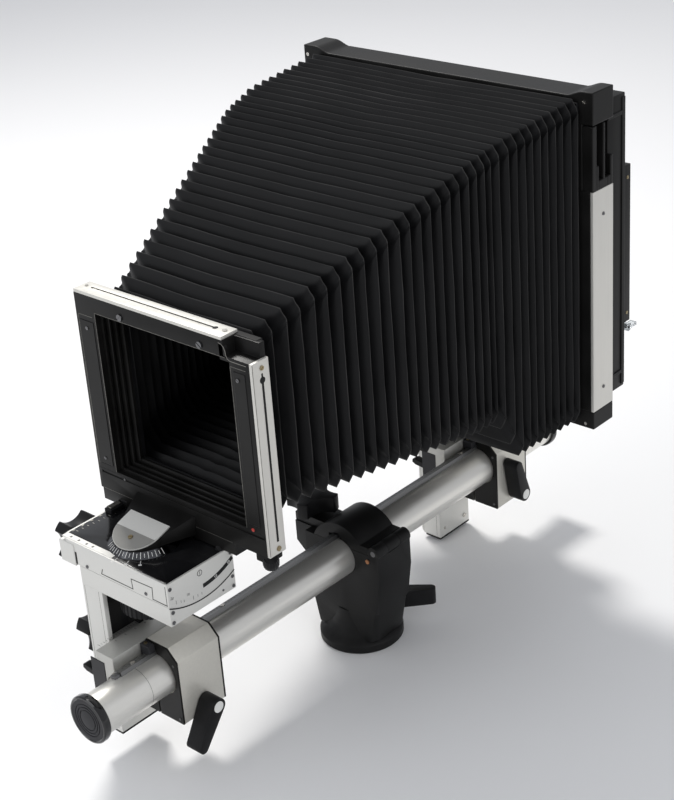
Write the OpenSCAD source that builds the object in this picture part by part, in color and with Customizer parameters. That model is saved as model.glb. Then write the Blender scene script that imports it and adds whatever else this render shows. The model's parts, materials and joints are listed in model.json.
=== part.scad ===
// Monorail view camera: a rail held in a tripod clamp, two geared standards and a pleated bellows.
// Millimetres. +Z is up, -Y is the lens side, +X is to the right for someone facing the lens side.
// The origin is the centre of the clamp's base, on the surface that it stands on.

/* [Rail] */
// Outside diameter of the rail tube
rail_d = 34; // [28:1:40]
// Wall of the rail tube
rail_wall = 2.5; // [1.5:0.5:4]
// Rail length ahead of the clamp's centre
rail_front = 294; // [280:1:360]
// Rail length behind the clamp's centre
rail_rear = 262; // [250:1:360]
// Height of the rail's axis above the base
axis_z = 87; // [84:1:110]
// Width of the spine that keeps everything upright on the rail
spine_w = 7; // [5:0.5:9]
// Height of the spine above the tube
spine_h = 3; // [2:0.5:4]
// Lean of the spine from straight up, towards the columns, in degrees
spine_lean = 15; // [5:1:20]
// Outside diameter of the rail's end caps
cap_d = 39; // [36:1:48]

/* [Clamp] */
// Diameter of the clamp's round base
base_d = 73; // [64:1:100]
// Height of the base's straight rim
base_rim = 7; // [4:1:12]
// Length of the clamp along the rail
clamp_len = 42; // [34:1:60]
// Outside radius of the jaw over the rail
jaw_r = 31; // [29:1:36]
// Diameter of the clamp's knob
clamp_knob_d = 46; // [36:1:56]
// Diameter of the clamp's bolt
bolt_d = 8; // [6:1:10]
// Nominal diameter of the tripod thread
tripod_d = 9.5; // [6.35:0.05:10]
// Depth of the tripod bush
bush_len = 12; // [8:1:14]

/* [Bearers] */
// Front face of the front bearer
front_bearer_y = -228; // [-250:1:-190]
// Front face of the rear bearer
rear_bearer_y = 170; // [120:1:200]
// Length of a bearer along the rail
bearer_len = 45.5; // [36:0.5:60]
// Thickness of a bearer's end plates
plate_t = 1.6; // [1:0.2:3]
// Wall of a bearer beside the rail
bearer_wall = 4.2; // [3:0.2:8]
// Length of a clamping lever's arm
lever_len = 34; // [24:1:50]
// Diameter of a clamping lever's stud
stud_d = 8; // [6:1:10]
// Length of a focusing carriage
carriage_len = 62; // [50:1:80]
// How far a carriage reaches ahead of its bearer
carriage_ahead = 33; // [20:1:40]

/* [Columns] */
// Width of a column across the rail
column_w = 22.5; // [18:0.5:30]
// Depth of a column along the rail
column_d = 43.5; // [36:0.5:52]
// How far a column stands ahead of its bearer's front face
column_ahead = 16.5; // [10:0.5:24]
// Height of a column from its foot to the bracket, on a 34 mm rail
column_h = 132; // [126:1:160]
// Height of the front column's foot above the base plane
front_foot_z = 23.5; // [20:0.5:40]
// Height of the rear column's foot above the base plane
rear_foot_z = 3.2; // [1:0.1:20]
// Diameter of the lobed knobs on the columns and heads
knob_d = 46; // [36:1:54]
// Length of the lobed knobs
knob_len = 15; // [10:1:20]

/* [Heads] */
// Width of a tilt head
head_w = 119; // [100:1:140]
// Depth of a tilt head
head_d = 66; // [56:1:80]
// Height of a tilt head from the bracket's underside to the rim
head_h = 36.4; // [30:0.2:44]
// How far a head's centre lies from the rail's axis, towards the columns
head_offset = 17; // [10:1:24]
// Radius of the tilt guide
tilt_r = 70.5; // [60:0.5:90]
// Height of the tilt axis above the bracket's underside
tilt_rise = 78.5; // [70:0.5:100]
// Radius of the swing dial
dial_r = 28; // [22:1:32]
// Radius of the shift wheel
wheel_r = 25; // [18:1:26]

/* [Front frame] */
// Width of the front frame
front_w = 185; // [160:1:240]
// Height of the front frame above its foot bar
front_h = 169; // [150:1:220]
// Depth of the front frame
front_d = 16.4; // [12:0.2:24]
// Width of the opening that takes the lens board
board_w = 141; // [120:1:150]
// Height of the opening that takes the lens board
board_h = 134; // [110:1:140]
// Height of the foot bar under the front frame
foot_bar_h = 10; // [8:1:16]
// Distance from the front head's centre back to the front frame's face
front_reach = 24.3; // [22:0.1:34]

/* [Rear frame] */
// Width of the rear frame
rear_w = 300; // [280:1:340]
// Height of the rear frame
rear_h = 288; // [270:1:320]
// Depth of the rear frame
rear_d = 28; // [20:1:36]
// Width of the bars of the rear frame
rear_bar = 22; // [16:1:30]
// Distance from the rear head's centre forward to the rear frame's back face
rear_reach = 20.5; // [18:0.5:30]
// Height of the rear frame's underside above the head's rim
rear_frame_gap = 11.5; // [8:0.5:20]
// Width of the film back
back_w = 289; // [260:1:300]
// Height of the film back
back_h = 256; // [240:1:280]
// Depth of the film back
back_d = 25; // [16:1:32]
// Thickness of the ground glass
glass_t = 2; // [1.5:0.5:4]

/* [Bellows] */
// Number of wide pleats in the tapered part
front_pleats = 22; // [12:1:30]
// Number of narrow pleats in the straight part
rear_pleats = 11; // [6:1:16]
// Depth of a pleat
pleat_depth = 9; // [6:0.5:12]
// Thickness of the bellows cloth
cloth_t = 1.2; // [0.8:0.1:2]

/* [Fits] */
// Radial running clearance of shafts and of the rail
running = 0.05; // [0.02:0.01:0.1]
// Gap between sliding flats on different pieces
slide_gap = 0.3; // [0.2:0.05:0.6]

/* [Hidden] */
$fn = 64;
eps = 0.01;
rail_r = rail_d / 2;
bore_r = rail_r + running;
split_z = axis_z + 12;
hinge_x = 38;
hinge_z = split_z + 3;
hinge_r = 6;
bolt_x = -(jaw_r + 17);
lug_t = 8;
lever_post = [16, 29.5];

// The columns' height is stated for a nominal rail; a thicker one lifts the bearers and the heads
nominal_rail_d = 34;
column_tall = column_h + (rail_d - nominal_rail_d) / 2;

// Cross-section of a bearer, seen along the rail
bearer_right = rail_r + bearer_wall;
bearer_left = -(rail_r + bearer_wall);
bearer_top = axis_z + rail_r + 10;
bearer_bottom = axis_z - rail_r - 22;
bearer_chamfer = 9.6;
step_x = -(rail_r - 5.3);
step_wall = 1.7;
step_z = axis_z + (rail_r + step_wall) * sqrt(2) + step_x;
stud_z = axis_z - rail_r - 11.3;
slit_w = 1.5;

// Carriages and columns stand to the left of the bearers
carriage_left = bearer_left - 10.3;
column_right = carriage_left - 3.5;
column_left = column_right - column_w;
column_back = column_d - column_ahead;
groove_depth = 7;
groove_floor = column_right - groove_depth;
groove_lip = 4;
front_groove_z = 24;
rear_groove_z = 34;
rack_t = 2;
tongue_z = axis_z + 3;
tongue_h = 22;
foot_t = 1.8;
shaft_seat = 6;
corner_r = 8;
knob_y = column_d / 2 - column_ahead;
rise_knob_z = axis_z + 15;
knob_shaft_r = 3.5;
slot_low = 34;
slot_high = rise_knob_z - rear_foot_z + 0.4;

// Heads, measured from the bracket's underside
head_x = -head_offset;
head_y = head_d / 2 - column_ahead;
head_right = head_w / 2;
bracket_left = column_left - head_x;
cover_z = head_h - 3.2;
cover_t = 2.8;
rim_z = head_h - 0.6;
shoe_t = 6;
shoe_half = 8;
shoe_len = 40;
keel_w = 6;
pocket_half = 29;
tilt_knob_y = -9;
tilt_knob_z = 19.5;
tilt_knob_d = knob_d * 0.86;
dial_z = head_h - 0.2;
dial_h = 4.2;
swing_shaft_r = 8;
swing_shaft_len = 14;
holder_half = 32;
plate_r = 21.5;
plate_len = 34;
slope_front = -24;
holder_rise = 16;

// Frames
front_face_y = front_bearer_y + head_y + front_reach;
front_back_y = front_face_y + front_d;
front_bottom = front_foot_z + column_tall + head_h + 0.4;
front_ring_z = front_bottom + foot_bar_h;
front_top = front_ring_z + front_h;
board_z = front_ring_z + 19.5;
strip_t = 2.6;
notch_w = 27;
notch_h = 14;
rear_back_y = rear_bearer_y + head_y - rear_reach;
rear_face_y = rear_back_y - rear_d;
rear_bottom = rear_foot_z + column_tall + head_h + rear_frame_gap;
rear_top = rear_bottom + rear_h;
back_z = rear_bottom + 19;
back_bar = 20;
housing_w = 17.5;
housing_h = 138;
housing_d = 14.5;
housing_z = back_z + 54;
release_y = rear_back_y + back_d + housing_d - 4;
release_z = housing_z - 5;
release_pin_r = 1.5;
glass_w = 262;
glass_h = 216;
glass_bar = 14;
glass_z = back_z + (back_h - glass_h) / 2;
glass_frame_d = 10;

// Bellows: half width, underside and top at each station along the rail
bellows_gap = 0.4;
bellows_front = front_back_y + bellows_gap;
bellows_rear = rear_face_y - bellows_gap;
knee_y = bellows_front + (bellows_rear - bellows_front) * 0.665;
drop_y = knee_y + 22;
half_widths = [[bellows_front, board_w / 2 + 7.5], [knee_y, rear_w / 2 - 13], [bellows_rear, rear_w / 2 - 10]];
undersides = [[bellows_front, board_z + 1], [knee_y, board_z + 5],
              [drop_y, rear_bottom + 6], [bellows_rear, rear_bottom + 5]];
tops = [[bellows_front, front_top - 4], [knee_y, rear_top - 14], [bellows_rear, rear_top - 5]];

// ---------- shared shapes ----------

// Lays a shape drawn in X and Z along the rail from y0, for a given length
module along_rail(y0, length) {
    translate([0, y0 + length, 0]) rotate([90, 0, 0]) linear_extrude(length) children();
}

// Round bar along the rail
module bar_y(r, y0, length, x = 0, z = axis_z) {
    translate([x, y0, z]) rotate([-90, 0, 0]) cylinder(r = r, h = length);
}

// Round bar across the rail, from x0
module bar_x(r, x0, length, y, z) {
    translate([x0, y, z]) rotate([0, 90, 0]) cylinder(r = r, h = length);
}

// Rectangular bar beside the tube at the spine's lean, for slots and for the spine itself
module spine_bar(width, z0, z1, y0, length) {
    translate([0, y0, axis_z]) rotate([0, -spine_lean, 0])
        translate([-width / 2, 0, z0]) cube([width, length, z1 - z0]);
}

// Knob with four lobes and hollow flanks, standing on z = 0
module lobed_knob(d, h, shaft_r) {
    r = d / 2;
    difference() {
        union() {
            cylinder(r = r, h = h);
            translate([0, 0, -1.5]) cylinder(r = r * 0.45, h = 1.5 + eps);
        }
        for (i = [0:3]) rotate(45 + 90 * i) translate([r * 1.32, 0, -eps]) cylinder(r = r * 0.72, h = h + 2 * eps);
        translate([0, 0, -2]) cylinder(r = shaft_r, h = h - 2);
    }
}

// Arm that tapers from a round hub to a narrower round tip, along +X, on z = 0
module tapered_arm(hub_r, tip_r, length, h) linear_extrude(h) hull() {
    circle(hub_r, $fn = 32);
    translate([length, 0]) circle(tip_r, $fn = 32);
}

// Rectangle with the two corners on its left rounded
module left_rounded(w, d, r) {
    translate([-w / 2 + r, -d / 2]) square([w - r, d]);
    translate([-w / 2, -d / 2 + r]) square([w, d - 2 * r]);
    for (s = [-1, 1]) translate([-w / 2 + r, s * (d / 2 - r)]) circle(r);
}

// Rectangular ring in X and Z
module ring_xz(w, z0, z1, iw, iz0, iz1) {
    difference() {
        translate([-w / 2, z0]) square([w, z1 - z0]);
        translate([-iw / 2, iz0]) square([iw, iz1 - iz0]);
    }
}

// ---------- clamp ----------

module clamp_profile() {
    half = base_d / 2 - 3.5;
    polygon([[-half, base_rim + 4], [half, base_rim + 4], [hinge_x + 5, axis_z - 12],
             [hinge_x + 5, hinge_z - 3], [hinge_x, split_z - slide_gap], [bolt_x - 10, split_z - slide_gap],
             [bolt_x - 10, axis_z - 8], [-hinge_x, axis_z - 26]]);
}

// Round base that rises into the body in a hollow curve
module clamp_skirt() rotate_extrude()
    polygon([[0, 0], [base_d / 2 - 1, 0], [base_d / 2, 1], [base_d / 2, base_rim], [base_d / 2 - 1.2, base_rim + 1.5],
             [base_d / 2 - 6.5, base_rim + 5], [base_d / 2 - 10.5, base_rim + 10], [base_d / 2 - 13, base_rim + 17],
             [base_d / 2 - 14.5, base_rim + 27], [0, base_rim + 27]]);

// Bell that rounds the body's corners off where they meet the base
module clamp_bell() rotate_extrude()
    polygon([[0, base_rim], [base_d / 2 - 0.5, base_rim], [base_d / 2 - 0.5, base_rim + 4], [base_d / 2 + 4.5, 40],
             [base_d / 2 + 20, 62], [90, 76], [90, 150], [0, 150]]);

module clamp_body() color([0.09, 0.09, 0.09]) difference() {
    union() {
        clamp_skirt();
        difference() {
            intersection() {
                along_rail(-clamp_len / 2, clamp_len) clamp_profile();
                clamp_bell();
            }
            for (s = [-1, 1]) translate([bolt_x - 11, s * (clamp_len / 2), axis_z])
                mirror([0, s > 0 ? 0 : 1, 0]) translate([0, -8, -20]) cube([20, 9, 40]);
        }
        for (s = [-1, 1]) bar_y(hinge_r, s > 0 ? 8 : -clamp_len / 2, clamp_len / 2 - 8, hinge_x, hinge_z);
        translate([lever_post.x, lever_post.y, base_rim - 1]) cylinder(d = bolt_d, h = 29);
    }
    bar_y(bore_r, -clamp_len / 2 - 1, clamp_len + 2);
    spine_bar(spine_w + 1, 0, rail_r + spine_h + 1, -clamp_len / 2 - 1, clamp_len + 2);
    bar_y(hinge_r + slide_gap, -8, 16, hinge_x, hinge_z);
    bar_y(2.5, -clamp_len / 2 - 1, clamp_len + 2, hinge_x, hinge_z);
    translate([bolt_x - 20, -bolt_d / 2 - 1, 0]) cube([20 + bolt_d / 2 + 2, bolt_d + 2, axis_z + 30]);
    translate([0, 0, -1]) cylinder(r = tripod_d / 2 + 3.5, h = bush_len + 1);
    translate([0, 0, bush_len]) cylinder(r = 3, h = 6);
}

module clamp_jaw() color([0.07, 0.07, 0.07]) difference() {
    union() {
        intersection() {
            bar_y(jaw_r, -clamp_len / 2, clamp_len);
            translate([-60, -clamp_len, split_z]) cube([120, 2 * clamp_len, 60]);
        }
        translate([0, -clamp_len / 2, split_z]) cube([hinge_x - 2, clamp_len, 7]);
        translate([bolt_x - 10, -12, split_z]) cube([-bolt_x, 24, lug_t]);
        bar_y(hinge_r, -8 + slide_gap, 16 - 2 * slide_gap, hinge_x, hinge_z);
    }
    bar_y(bore_r, -clamp_len / 2 - 1, clamp_len + 2);
    spine_bar(spine_w + 4, 0, rail_r + spine_h + 1.5, -clamp_len / 2 - 1, clamp_len + 2);
    for (s = [-1, 1]) bar_y(hinge_r + slide_gap, s > 0 ? 8 - slide_gap : -clamp_len / 2 - 1,
                            clamp_len / 2 - 7 + slide_gap, hinge_x, hinge_z);
    bar_y(2.5 + running, -clamp_len / 2 - 1, clamp_len + 2, hinge_x, hinge_z);
    translate([bolt_x, 0, split_z - 1]) cylinder(r = bolt_d / 2 + running, h = lug_t + 30);
}

module jaw_pin() color("dimgray") bar_y(2.5, -clamp_len / 2, clamp_len, hinge_x, hinge_z);

module tripod_bush() color("goldenrod") difference() {
    cylinder(r = tripod_d / 2 + 3.5, h = bush_len);
    translate([0, 0, -1]) cylinder(r = tripod_d / 2, h = bush_len + 2);
}

module clamp_bolt() color("dimgray")
    translate([bolt_x, 0, split_z - 24]) cylinder(d = bolt_d, h = 24 + lug_t + 12);

module clamp_knob() color([0.06, 0.06, 0.06])
    translate([bolt_x, 0, split_z + lug_t + 2]) rotate(20) lobed_knob(clamp_knob_d, 14, bolt_d / 2);

module clamp_lever() color([0.08, 0.08, 0.08]) translate([lever_post.x, lever_post.y, base_rim + 11])
    difference() {
        rotate(42) tapered_arm(7.2, 4.6, 30, 15);
        translate([0, 0, -1]) cylinder(r = bolt_d / 2 + running, h = 20);
    }

// ---------- rail ----------

module rail_tube() color("silver") difference() {
    bar_y(rail_r, -rail_front, rail_front + rail_rear);
    bar_y(rail_r - rail_wall, -rail_front - 1, rail_front + rail_rear + 2);
    spine_bar(spine_w, rail_r - 1.2, rail_r + 2, -rail_front + 31, rail_front + rail_rear - 31 + 1);
}

module rail_spine() color("gray")
    spine_bar(spine_w, rail_r - 1.2, rail_r + spine_h, -rail_front + 31, rail_front + rail_rear - 31);

module end_cap() difference() {
    rotate_extrude() polygon([[0, 0], [cap_d / 2 - 1.5, 0], [cap_d / 2, 1.5], [cap_d / 2, 5], [cap_d / 2 - 1, 6],
                              [rail_r - rail_wall, 6], [rail_r - rail_wall, 18], [0, 18]]);
    for (r = [8, 10.5, 13]) rotate_extrude() translate([r, -1]) square([0.9, 1.7]);
}

module front_cap() color([0.1, 0.1, 0.11]) translate([0, -rail_front - 6, axis_z]) rotate([-90, 0, 0]) end_cap();
module rear_cap() color([0.1, 0.1, 0.11]) translate([0, rail_rear + 6, axis_z]) rotate([90, 0, 0]) end_cap();

// ---------- bearers: y is the front face ----------

module bearer_profile() {
    polygon([[bearer_left, bearer_bottom + 14], [bearer_left + 3.5, bearer_bottom],
             [bearer_right, bearer_bottom], [bearer_right, bearer_top - bearer_chamfer],
             [bearer_right - bearer_chamfer, bearer_top], [step_x, bearer_top], [step_x, step_z],
             [bearer_left, step_z - (step_x - bearer_left)]]);
}

module bearer(y) color([0.72, 0.71, 0.68]) difference() {
    along_rail(y + plate_t, bearer_len - 2 * plate_t) bearer_profile();
    bar_y(bore_r, y - 1, bearer_len + 2);
    spine_bar(spine_w + 1, 0, rail_r + spine_h + 0.6, y - 1, bearer_len + 2);
    translate([-6, y - 1, bearer_bottom - 1]) cube([slit_w, bearer_len + 2, axis_z - bearer_bottom]);
    bar_x(stud_d / 2 + running, bearer_left + 3, 60, y + bearer_len / 2, stud_z);
}

module bearer_plates(y) color([0.1, 0.1, 0.11]) for (y0 = [y, y + bearer_len - plate_t]) difference() {
    along_rail(y0, plate_t) bearer_profile();
    bar_y(rail_r + 0.8, y0 - 1, plate_t + 2);
    spine_bar(spine_w + 2, 0, rail_r + spine_h + 1, y0 - 1, plate_t + 2);
    translate([-6, y0 - 1, bearer_bottom - 1]) cube([slit_w, plate_t + 2, axis_z - bearer_bottom]);
}

module lever_stud(y) color("dimgray")
    bar_x(stud_d / 2, bearer_left + 4, bearer_right - bearer_left + 9, y + bearer_len / 2, stud_z);

// The arm's direction is measured from straight back, upwards
module bearer_lever(y, turn) color([0.06, 0.06, 0.06])
    translate([bearer_right + 1, y + bearer_len / 2, stud_z]) difference() {
        rotate([90, 0, 90]) rotate(turn) tapered_arm(7, 4.5, lever_len, 15.4);
        bar_x(stud_d / 2, -1, 13, 0, 0);
    }

// ---------- focusing carriages ----------

module carriage(y) color([0.62, 0.62, 0.6]) difference() {
    carriage_solid(y);
    bar_x(knob_shaft_r + running, groove_floor, carriage_left + shaft_seat - groove_floor + 0.5,
          y + knob_y, rise_knob_z);
}

module carriage_solid(y) {
    along_rail(y - carriage_ahead, carriage_len)
        polygon([[carriage_left, axis_z - 26], [carriage_left, bearer_top], [step_x - slide_gap, bearer_top],
                 [step_x - slide_gap, step_z + slide_gap],
                 [bearer_left - slide_gap, step_z + slide_gap - (step_x - bearer_left)],
                 [bearer_left - slide_gap, axis_z - 26]]);
    translate([groove_floor + rack_t + slide_gap, y - column_ahead + groove_lip + slide_gap, tongue_z])
        cube([carriage_left - groove_floor - rack_t - slide_gap + eps, 26, tongue_h]);
}

// ---------- columns: z is the foot ----------

module column(y, z, groove_z) color([0.8, 0.8, 0.78]) difference() {
    union() {
        translate([column_left, y - column_ahead, z + corner_r]) cube([column_w, column_d, column_tall - corner_r]);
        translate([column_left + corner_r, y - column_ahead, z + foot_t])
            cube([column_w - corner_r, column_d, corner_r]);
        intersection() {
            bar_y(corner_r, y - column_ahead, column_d, column_left + corner_r, z + corner_r);
            translate([column_left, y - column_ahead, z + foot_t]) cube([column_w, column_d, corner_r]);
        }
    }
    translate([groove_floor, y - column_ahead + groove_lip, z + groove_z])
        cube([groove_depth + 1, column_d - 2 * groove_lip, column_tall - groove_z + 1]);
    translate([head_x, y + head_y, z + column_tall - 21]) cylinder(r = wheel_r + 1, h = 19);
    rise_slot(y, z);
}

// Slot through a column's wall and its rack, for the shaft of the rise knob, which stays with the carriage
module rise_slot(y, z) {
    slot_r = knob_shaft_r + slide_gap;
    depth = column_w - groove_depth + rack_t + 2;
    for (height = [slot_low, slot_high]) bar_x(slot_r, column_left - 1, depth, y + knob_y, z + height);
    translate([column_left - 1, y + knob_y - slot_r, z + slot_low]) cube([depth, 2 * slot_r, slot_high - slot_low]);
}

module column_foot(y, z) color([0.12, 0.12, 0.12])
    translate([column_left + corner_r - 3, y - column_ahead, z]) cube([column_w - corner_r + 3, column_d, foot_t]);

module column_rack(y, z, groove_z) color([0.05, 0.05, 0.05]) difference() {
    translate([groove_floor, y - column_ahead + groove_lip, z + groove_z])
        cube([rack_t, column_d - 2 * groove_lip, column_tall - groove_z]);
    translate([head_x, y + head_y, z + column_tall - 21]) cylinder(r = wheel_r + 1, h = 19);
    rise_slot(y, z);
}

module rise_knob(y) color([0.06, 0.06, 0.06])
    translate([column_left - 2, y + knob_y, rise_knob_z]) rotate([0, -90, 0]) rotate(25)
        lobed_knob(knob_d, knob_len, knob_shaft_r);

module rise_shaft(y) color("dimgray")
    bar_x(knob_shaft_r, column_left - knob_len + 2.5, carriage_left + shaft_seat - column_left + knob_len - 2.5,
          y + knob_y, rise_knob_z);

// ---------- heads: z is the bracket's underside ----------

module at_head(y, z) translate([head_x, y + head_y, z + column_tall]) children();

module tilt_bar(r, x0, length) bar_x(r, x0, length, 0, tilt_rise);

module bracket(y, z) color([0.82, 0.82, 0.8]) at_head(y, z) difference() {
    translate([bracket_left, -head_d / 2, 0]) cube([head_right - bracket_left, head_d, 22]);
    tilt_bar(tilt_r + 0.2, bracket_left - 1, head_w + 2);
    translate([-shoe_len - 4, -keel_w / 2 - 0.1, 4]) cube([2 * shoe_len + 8, keel_w + 0.2, 20]);
    translate([0, 0, -1]) cylinder(r = knob_shaft_r + running, h = 6);
}

module shift_wheel(y, z) color([0.05, 0.05, 0.05]) at_head(y, z) {
    translate([0, 0, -18.5]) difference() {
        cylinder(r = wheel_r, h = 14);
        translate([0, 0, 10]) cylinder(r = wheel_r - 6, h = 5);
        for (i = [0:35]) rotate(10 * i) translate([wheel_r + 0.4, 0, -1]) cylinder(r = 1.2, h = 16, $fn = 16);
    }
    translate([0, 0, -9]) cylinder(r = knob_shaft_r, h = 13);
}

module shift_shoe(y, z) color("gray") at_head(y, z) union() {
    intersection() {
        difference() {
            tilt_bar(tilt_r - 0.2, -shoe_len / 2, shoe_len);
            tilt_bar(tilt_r - shoe_t, -shoe_len / 2 - 1, shoe_len + 2);
        }
        translate([-shoe_len / 2, -shoe_half, 0]) cube([shoe_len, 2 * shoe_half, 40]);
    }
    translate([-shoe_len / 2, -keel_w / 2, 4.5]) cube([shoe_len, keel_w, 6]);
}

module tilt_body(y, z) color([0.82, 0.82, 0.8]) at_head(y, z) difference() {
    intersection() {
        linear_extrude(rim_z) left_rounded(head_w, head_d, corner_r);
        tilt_bar(tilt_r, -head_w / 2, head_w);
    }
    difference() {
        translate([-46, -pocket_half, 0]) cube([90, 2 * pocket_half, 40]);
        tilt_bar(tilt_r - shoe_t - 0.3, -47, 92);
    }
    translate([0, 0, cover_z]) linear_extrude(10) left_rounded(head_w - 3, head_d - 3, corner_r - 1.5);
    translate([0, 0, head_h - swing_shaft_len - 3]) cylinder(r = swing_shaft_r + running, h = 40);
    bar_x(knob_shaft_r + running, -head_w / 2 - 1, 13, tilt_knob_y, tilt_knob_z);
}

module tilt_cover(y, z) color([0.03, 0.03, 0.03]) at_head(y, z) difference() {
    translate([0, 0, cover_z]) linear_extrude(cover_t) left_rounded(head_w - 3.2, head_d - 3.2, corner_r - 1.6);
    cylinder(r = swing_shaft_r + 0.3, h = 60);
}

module tilt_knob(y, z) color([0.06, 0.06, 0.06]) at_head(y, z)
    translate([-head_w / 2 - 2, tilt_knob_y, tilt_knob_z]) rotate([0, -90, 0]) rotate(45)
        lobed_knob(tilt_knob_d, knob_len, knob_shaft_r);

module tilt_shaft(y, z) color("dimgray") at_head(y, z)
    bar_x(knob_shaft_r, -head_w / 2 - knob_len + 2.5, knob_len + 8, tilt_knob_y, tilt_knob_z);

module swing_dial(y, z) color([0.55, 0.56, 0.58]) at_head(y, z) {
    translate([0, 0, dial_z]) cylinder(r1 = dial_r, r2 = dial_r - 5, h = dial_h);
    translate([0, 0, dial_z - swing_shaft_len]) cylinder(r = swing_shaft_r, h = swing_shaft_len + eps);
}

// The holder slopes up from the dial to the frame; reach is the distance to the frame's face
module holder_solid(reach) {
    top = dial_z + dial_h + holder_rise;
    intersection() {
        translate([holder_half, 0, 0]) rotate([90, 0, -90]) linear_extrude(2 * holder_half)
            polygon([[-slope_front, dial_z + dial_h], [-reach, dial_z + dial_h], [-reach, top]]);
        translate([0, 0, dial_z]) linear_extrude(40) union() {
            translate([0, slope_front + plate_r + 0.5]) circle(plate_r + 0.5);
            polygon([[-plate_r - 0.5, slope_front + plate_r], [plate_r + 0.5, slope_front + plate_r],
                     [holder_half, reach], [-holder_half, reach]]);
        }
    }
}

module frame_holder(y, z, reach, facing) color([0.1, 0.1, 0.1]) at_head(y, z)
    mirror([0, facing > 0 ? 0 : 1, 0]) holder_solid(reach);

module index_plate(y, z, reach) color([0.7, 0.7, 0.68]) at_head(y, z)
    translate([0, slope_front, dial_z + dial_h])
        rotate([atan2(holder_rise, reach - slope_front), 0, 0]) linear_extrude(1) intersection() {
            union() {
                translate([0, plate_r + 0.6]) circle(plate_r);
                translate([-plate_r, plate_r + 0.6]) square([2 * plate_r, plate_len]);
            }
            translate([-plate_r, 0]) square([2 * plate_r, plate_len]);
        }

// ---------- frames ----------

module front_frame() color([0.08, 0.08, 0.08]) difference() {
    union() {
        along_rail(front_face_y, front_d) difference() {
            ring_xz(front_w, front_ring_z, front_top - strip_t, board_w, board_z, board_z + board_h);
            translate([front_w / 2 - strip_t, front_ring_z - 1]) square([strip_t + 1, front_h + 2]);
        }
        translate([-front_w / 2 + 2, front_face_y, front_bottom])
            cube([2 * (front_w / 2 + head_x - 2), front_d, foot_bar_h + eps]);
    }
    translate([front_w / 2 - notch_w, front_face_y - 1, front_top - notch_h])
        cube([notch_w + 1, front_d - 4, notch_h + 1]);
    translate([-front_w / 2 + 4, front_face_y - 1, board_z - 5]) cube([front_w - 8, 1.8, 2]);
    translate([head_x, front_bearer_y + head_y, front_bottom - 1])
        cylinder(r = dial_r + slide_gap, h = dial_z + dial_h + slide_gap - head_h + 0.6);
}

module top_lock_strip() color([0.85, 0.84, 0.82]) difference() {
    translate([-front_w / 2, front_face_y, front_top - strip_t]) cube([front_w - notch_w - 1, front_d, strip_t]);
    translate([-front_w / 2 + 11, front_face_y + front_d / 2, front_top - 1]) cube([front_w - notch_w - 28, 2, 3]);
}

module side_lock_strip() color([0.85, 0.84, 0.82]) difference() {
    translate([front_w / 2 - strip_t, front_face_y, front_ring_z + 0.5])
        cube([strip_t, front_d, front_h - notch_h - 0.5]);
    translate([front_w / 2 - 1.2, front_face_y + front_d / 2, front_ring_z + 11])
        cube([3, 2, front_h - notch_h - 25]);
}

module rear_frame() color([0.07, 0.07, 0.07]) difference() {
    union() {
        along_rail(rear_face_y, rear_d)
            ring_xz(rear_w - 2 * strip_t, rear_bottom, rear_top,
                    rear_w - 2 * rear_bar, rear_bottom + rear_bar, rear_top - rear_bar);
        for (s = [-1, 1]) {
            translate([s > 0 ? rear_w / 2 - 24 : -rear_w / 2, rear_face_y, rear_top - 26])
                cube([24, rear_d, 26]);
            translate([s > 0 ? rear_w / 2 - 20 : -rear_w / 2, rear_face_y, rear_bottom]) cube([20, rear_d, 16]);
        }
    }
    for (s = [-1, 1]) translate([s > 0 ? rear_w / 2 - 10 : -rear_w / 2 - 1, rear_face_y + 8, rear_top - 78])
        cube([11, rear_d - 12, 52]);
}

module rear_side_strips() color([0.82, 0.82, 0.8]) for (s = [-1, 1])
    translate([s > 0 ? rear_w / 2 - strip_t : -rear_w / 2, rear_face_y, rear_bottom + 16])
        cube([strip_t, rear_d, rear_h - 96]);

module film_back() color([0.09, 0.09, 0.09]) along_rail(rear_back_y, back_d)
    ring_xz(back_w, back_z, back_z + back_h, back_w - 2 * back_bar, back_z + back_bar, back_z + back_h - back_bar);

module spring_housings() color([0.08, 0.08, 0.08]) {
    for (s = [-1, 1]) translate([s > 0 ? back_w / 2 - housing_w : -back_w / 2 + 4, rear_back_y + back_d, housing_z])
        cube([housing_w - 4, housing_d, housing_h]);
    translate([back_w / 2 - 13.5, rear_back_y + back_d, release_z - 4]) cube([3.2, housing_d, housing_z - release_z + 5]);
    bar_x(release_pin_r - running, back_w / 2 - 11, 9, release_y, release_z);
}

module glass_frame() color([0.12, 0.12, 0.12]) difference() {
    along_rail(rear_back_y + back_d + slide_gap, glass_frame_d)
        ring_xz(back_w - 2 * housing_w - 1, glass_z, glass_z + glass_h,
                back_w - 2 * housing_w - 2 * glass_bar, glass_z + glass_bar, glass_z + glass_h - glass_bar);
    translate([-glass_w / 2 + 7, rear_back_y + back_d - 1, glass_z + 8])
        cube([glass_w - 14, glass_t + slide_gap + 1, glass_h - 16]);
}

module ground_glass() color([0.8, 0.85, 0.85, 0.6])
    translate([-glass_w / 2 + 7, rear_back_y + back_d + slide_gap, glass_z + 8])
        cube([glass_w - 14, glass_t, glass_h - 16]);

module release_lever() color([0.85, 0.87, 0.88]) difference() {
    translate([back_w / 2 - 10, release_y, release_z])
        union() {
            rotate([0, 90, 0]) cylinder(r = 3.6, h = 8);
            translate([1, 0, -3]) cube([6, 13, 3]);
        }
    bar_x(release_pin_r, back_w / 2 - 12, 14, release_y, release_z);
}

// ---------- bellows ----------

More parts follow.
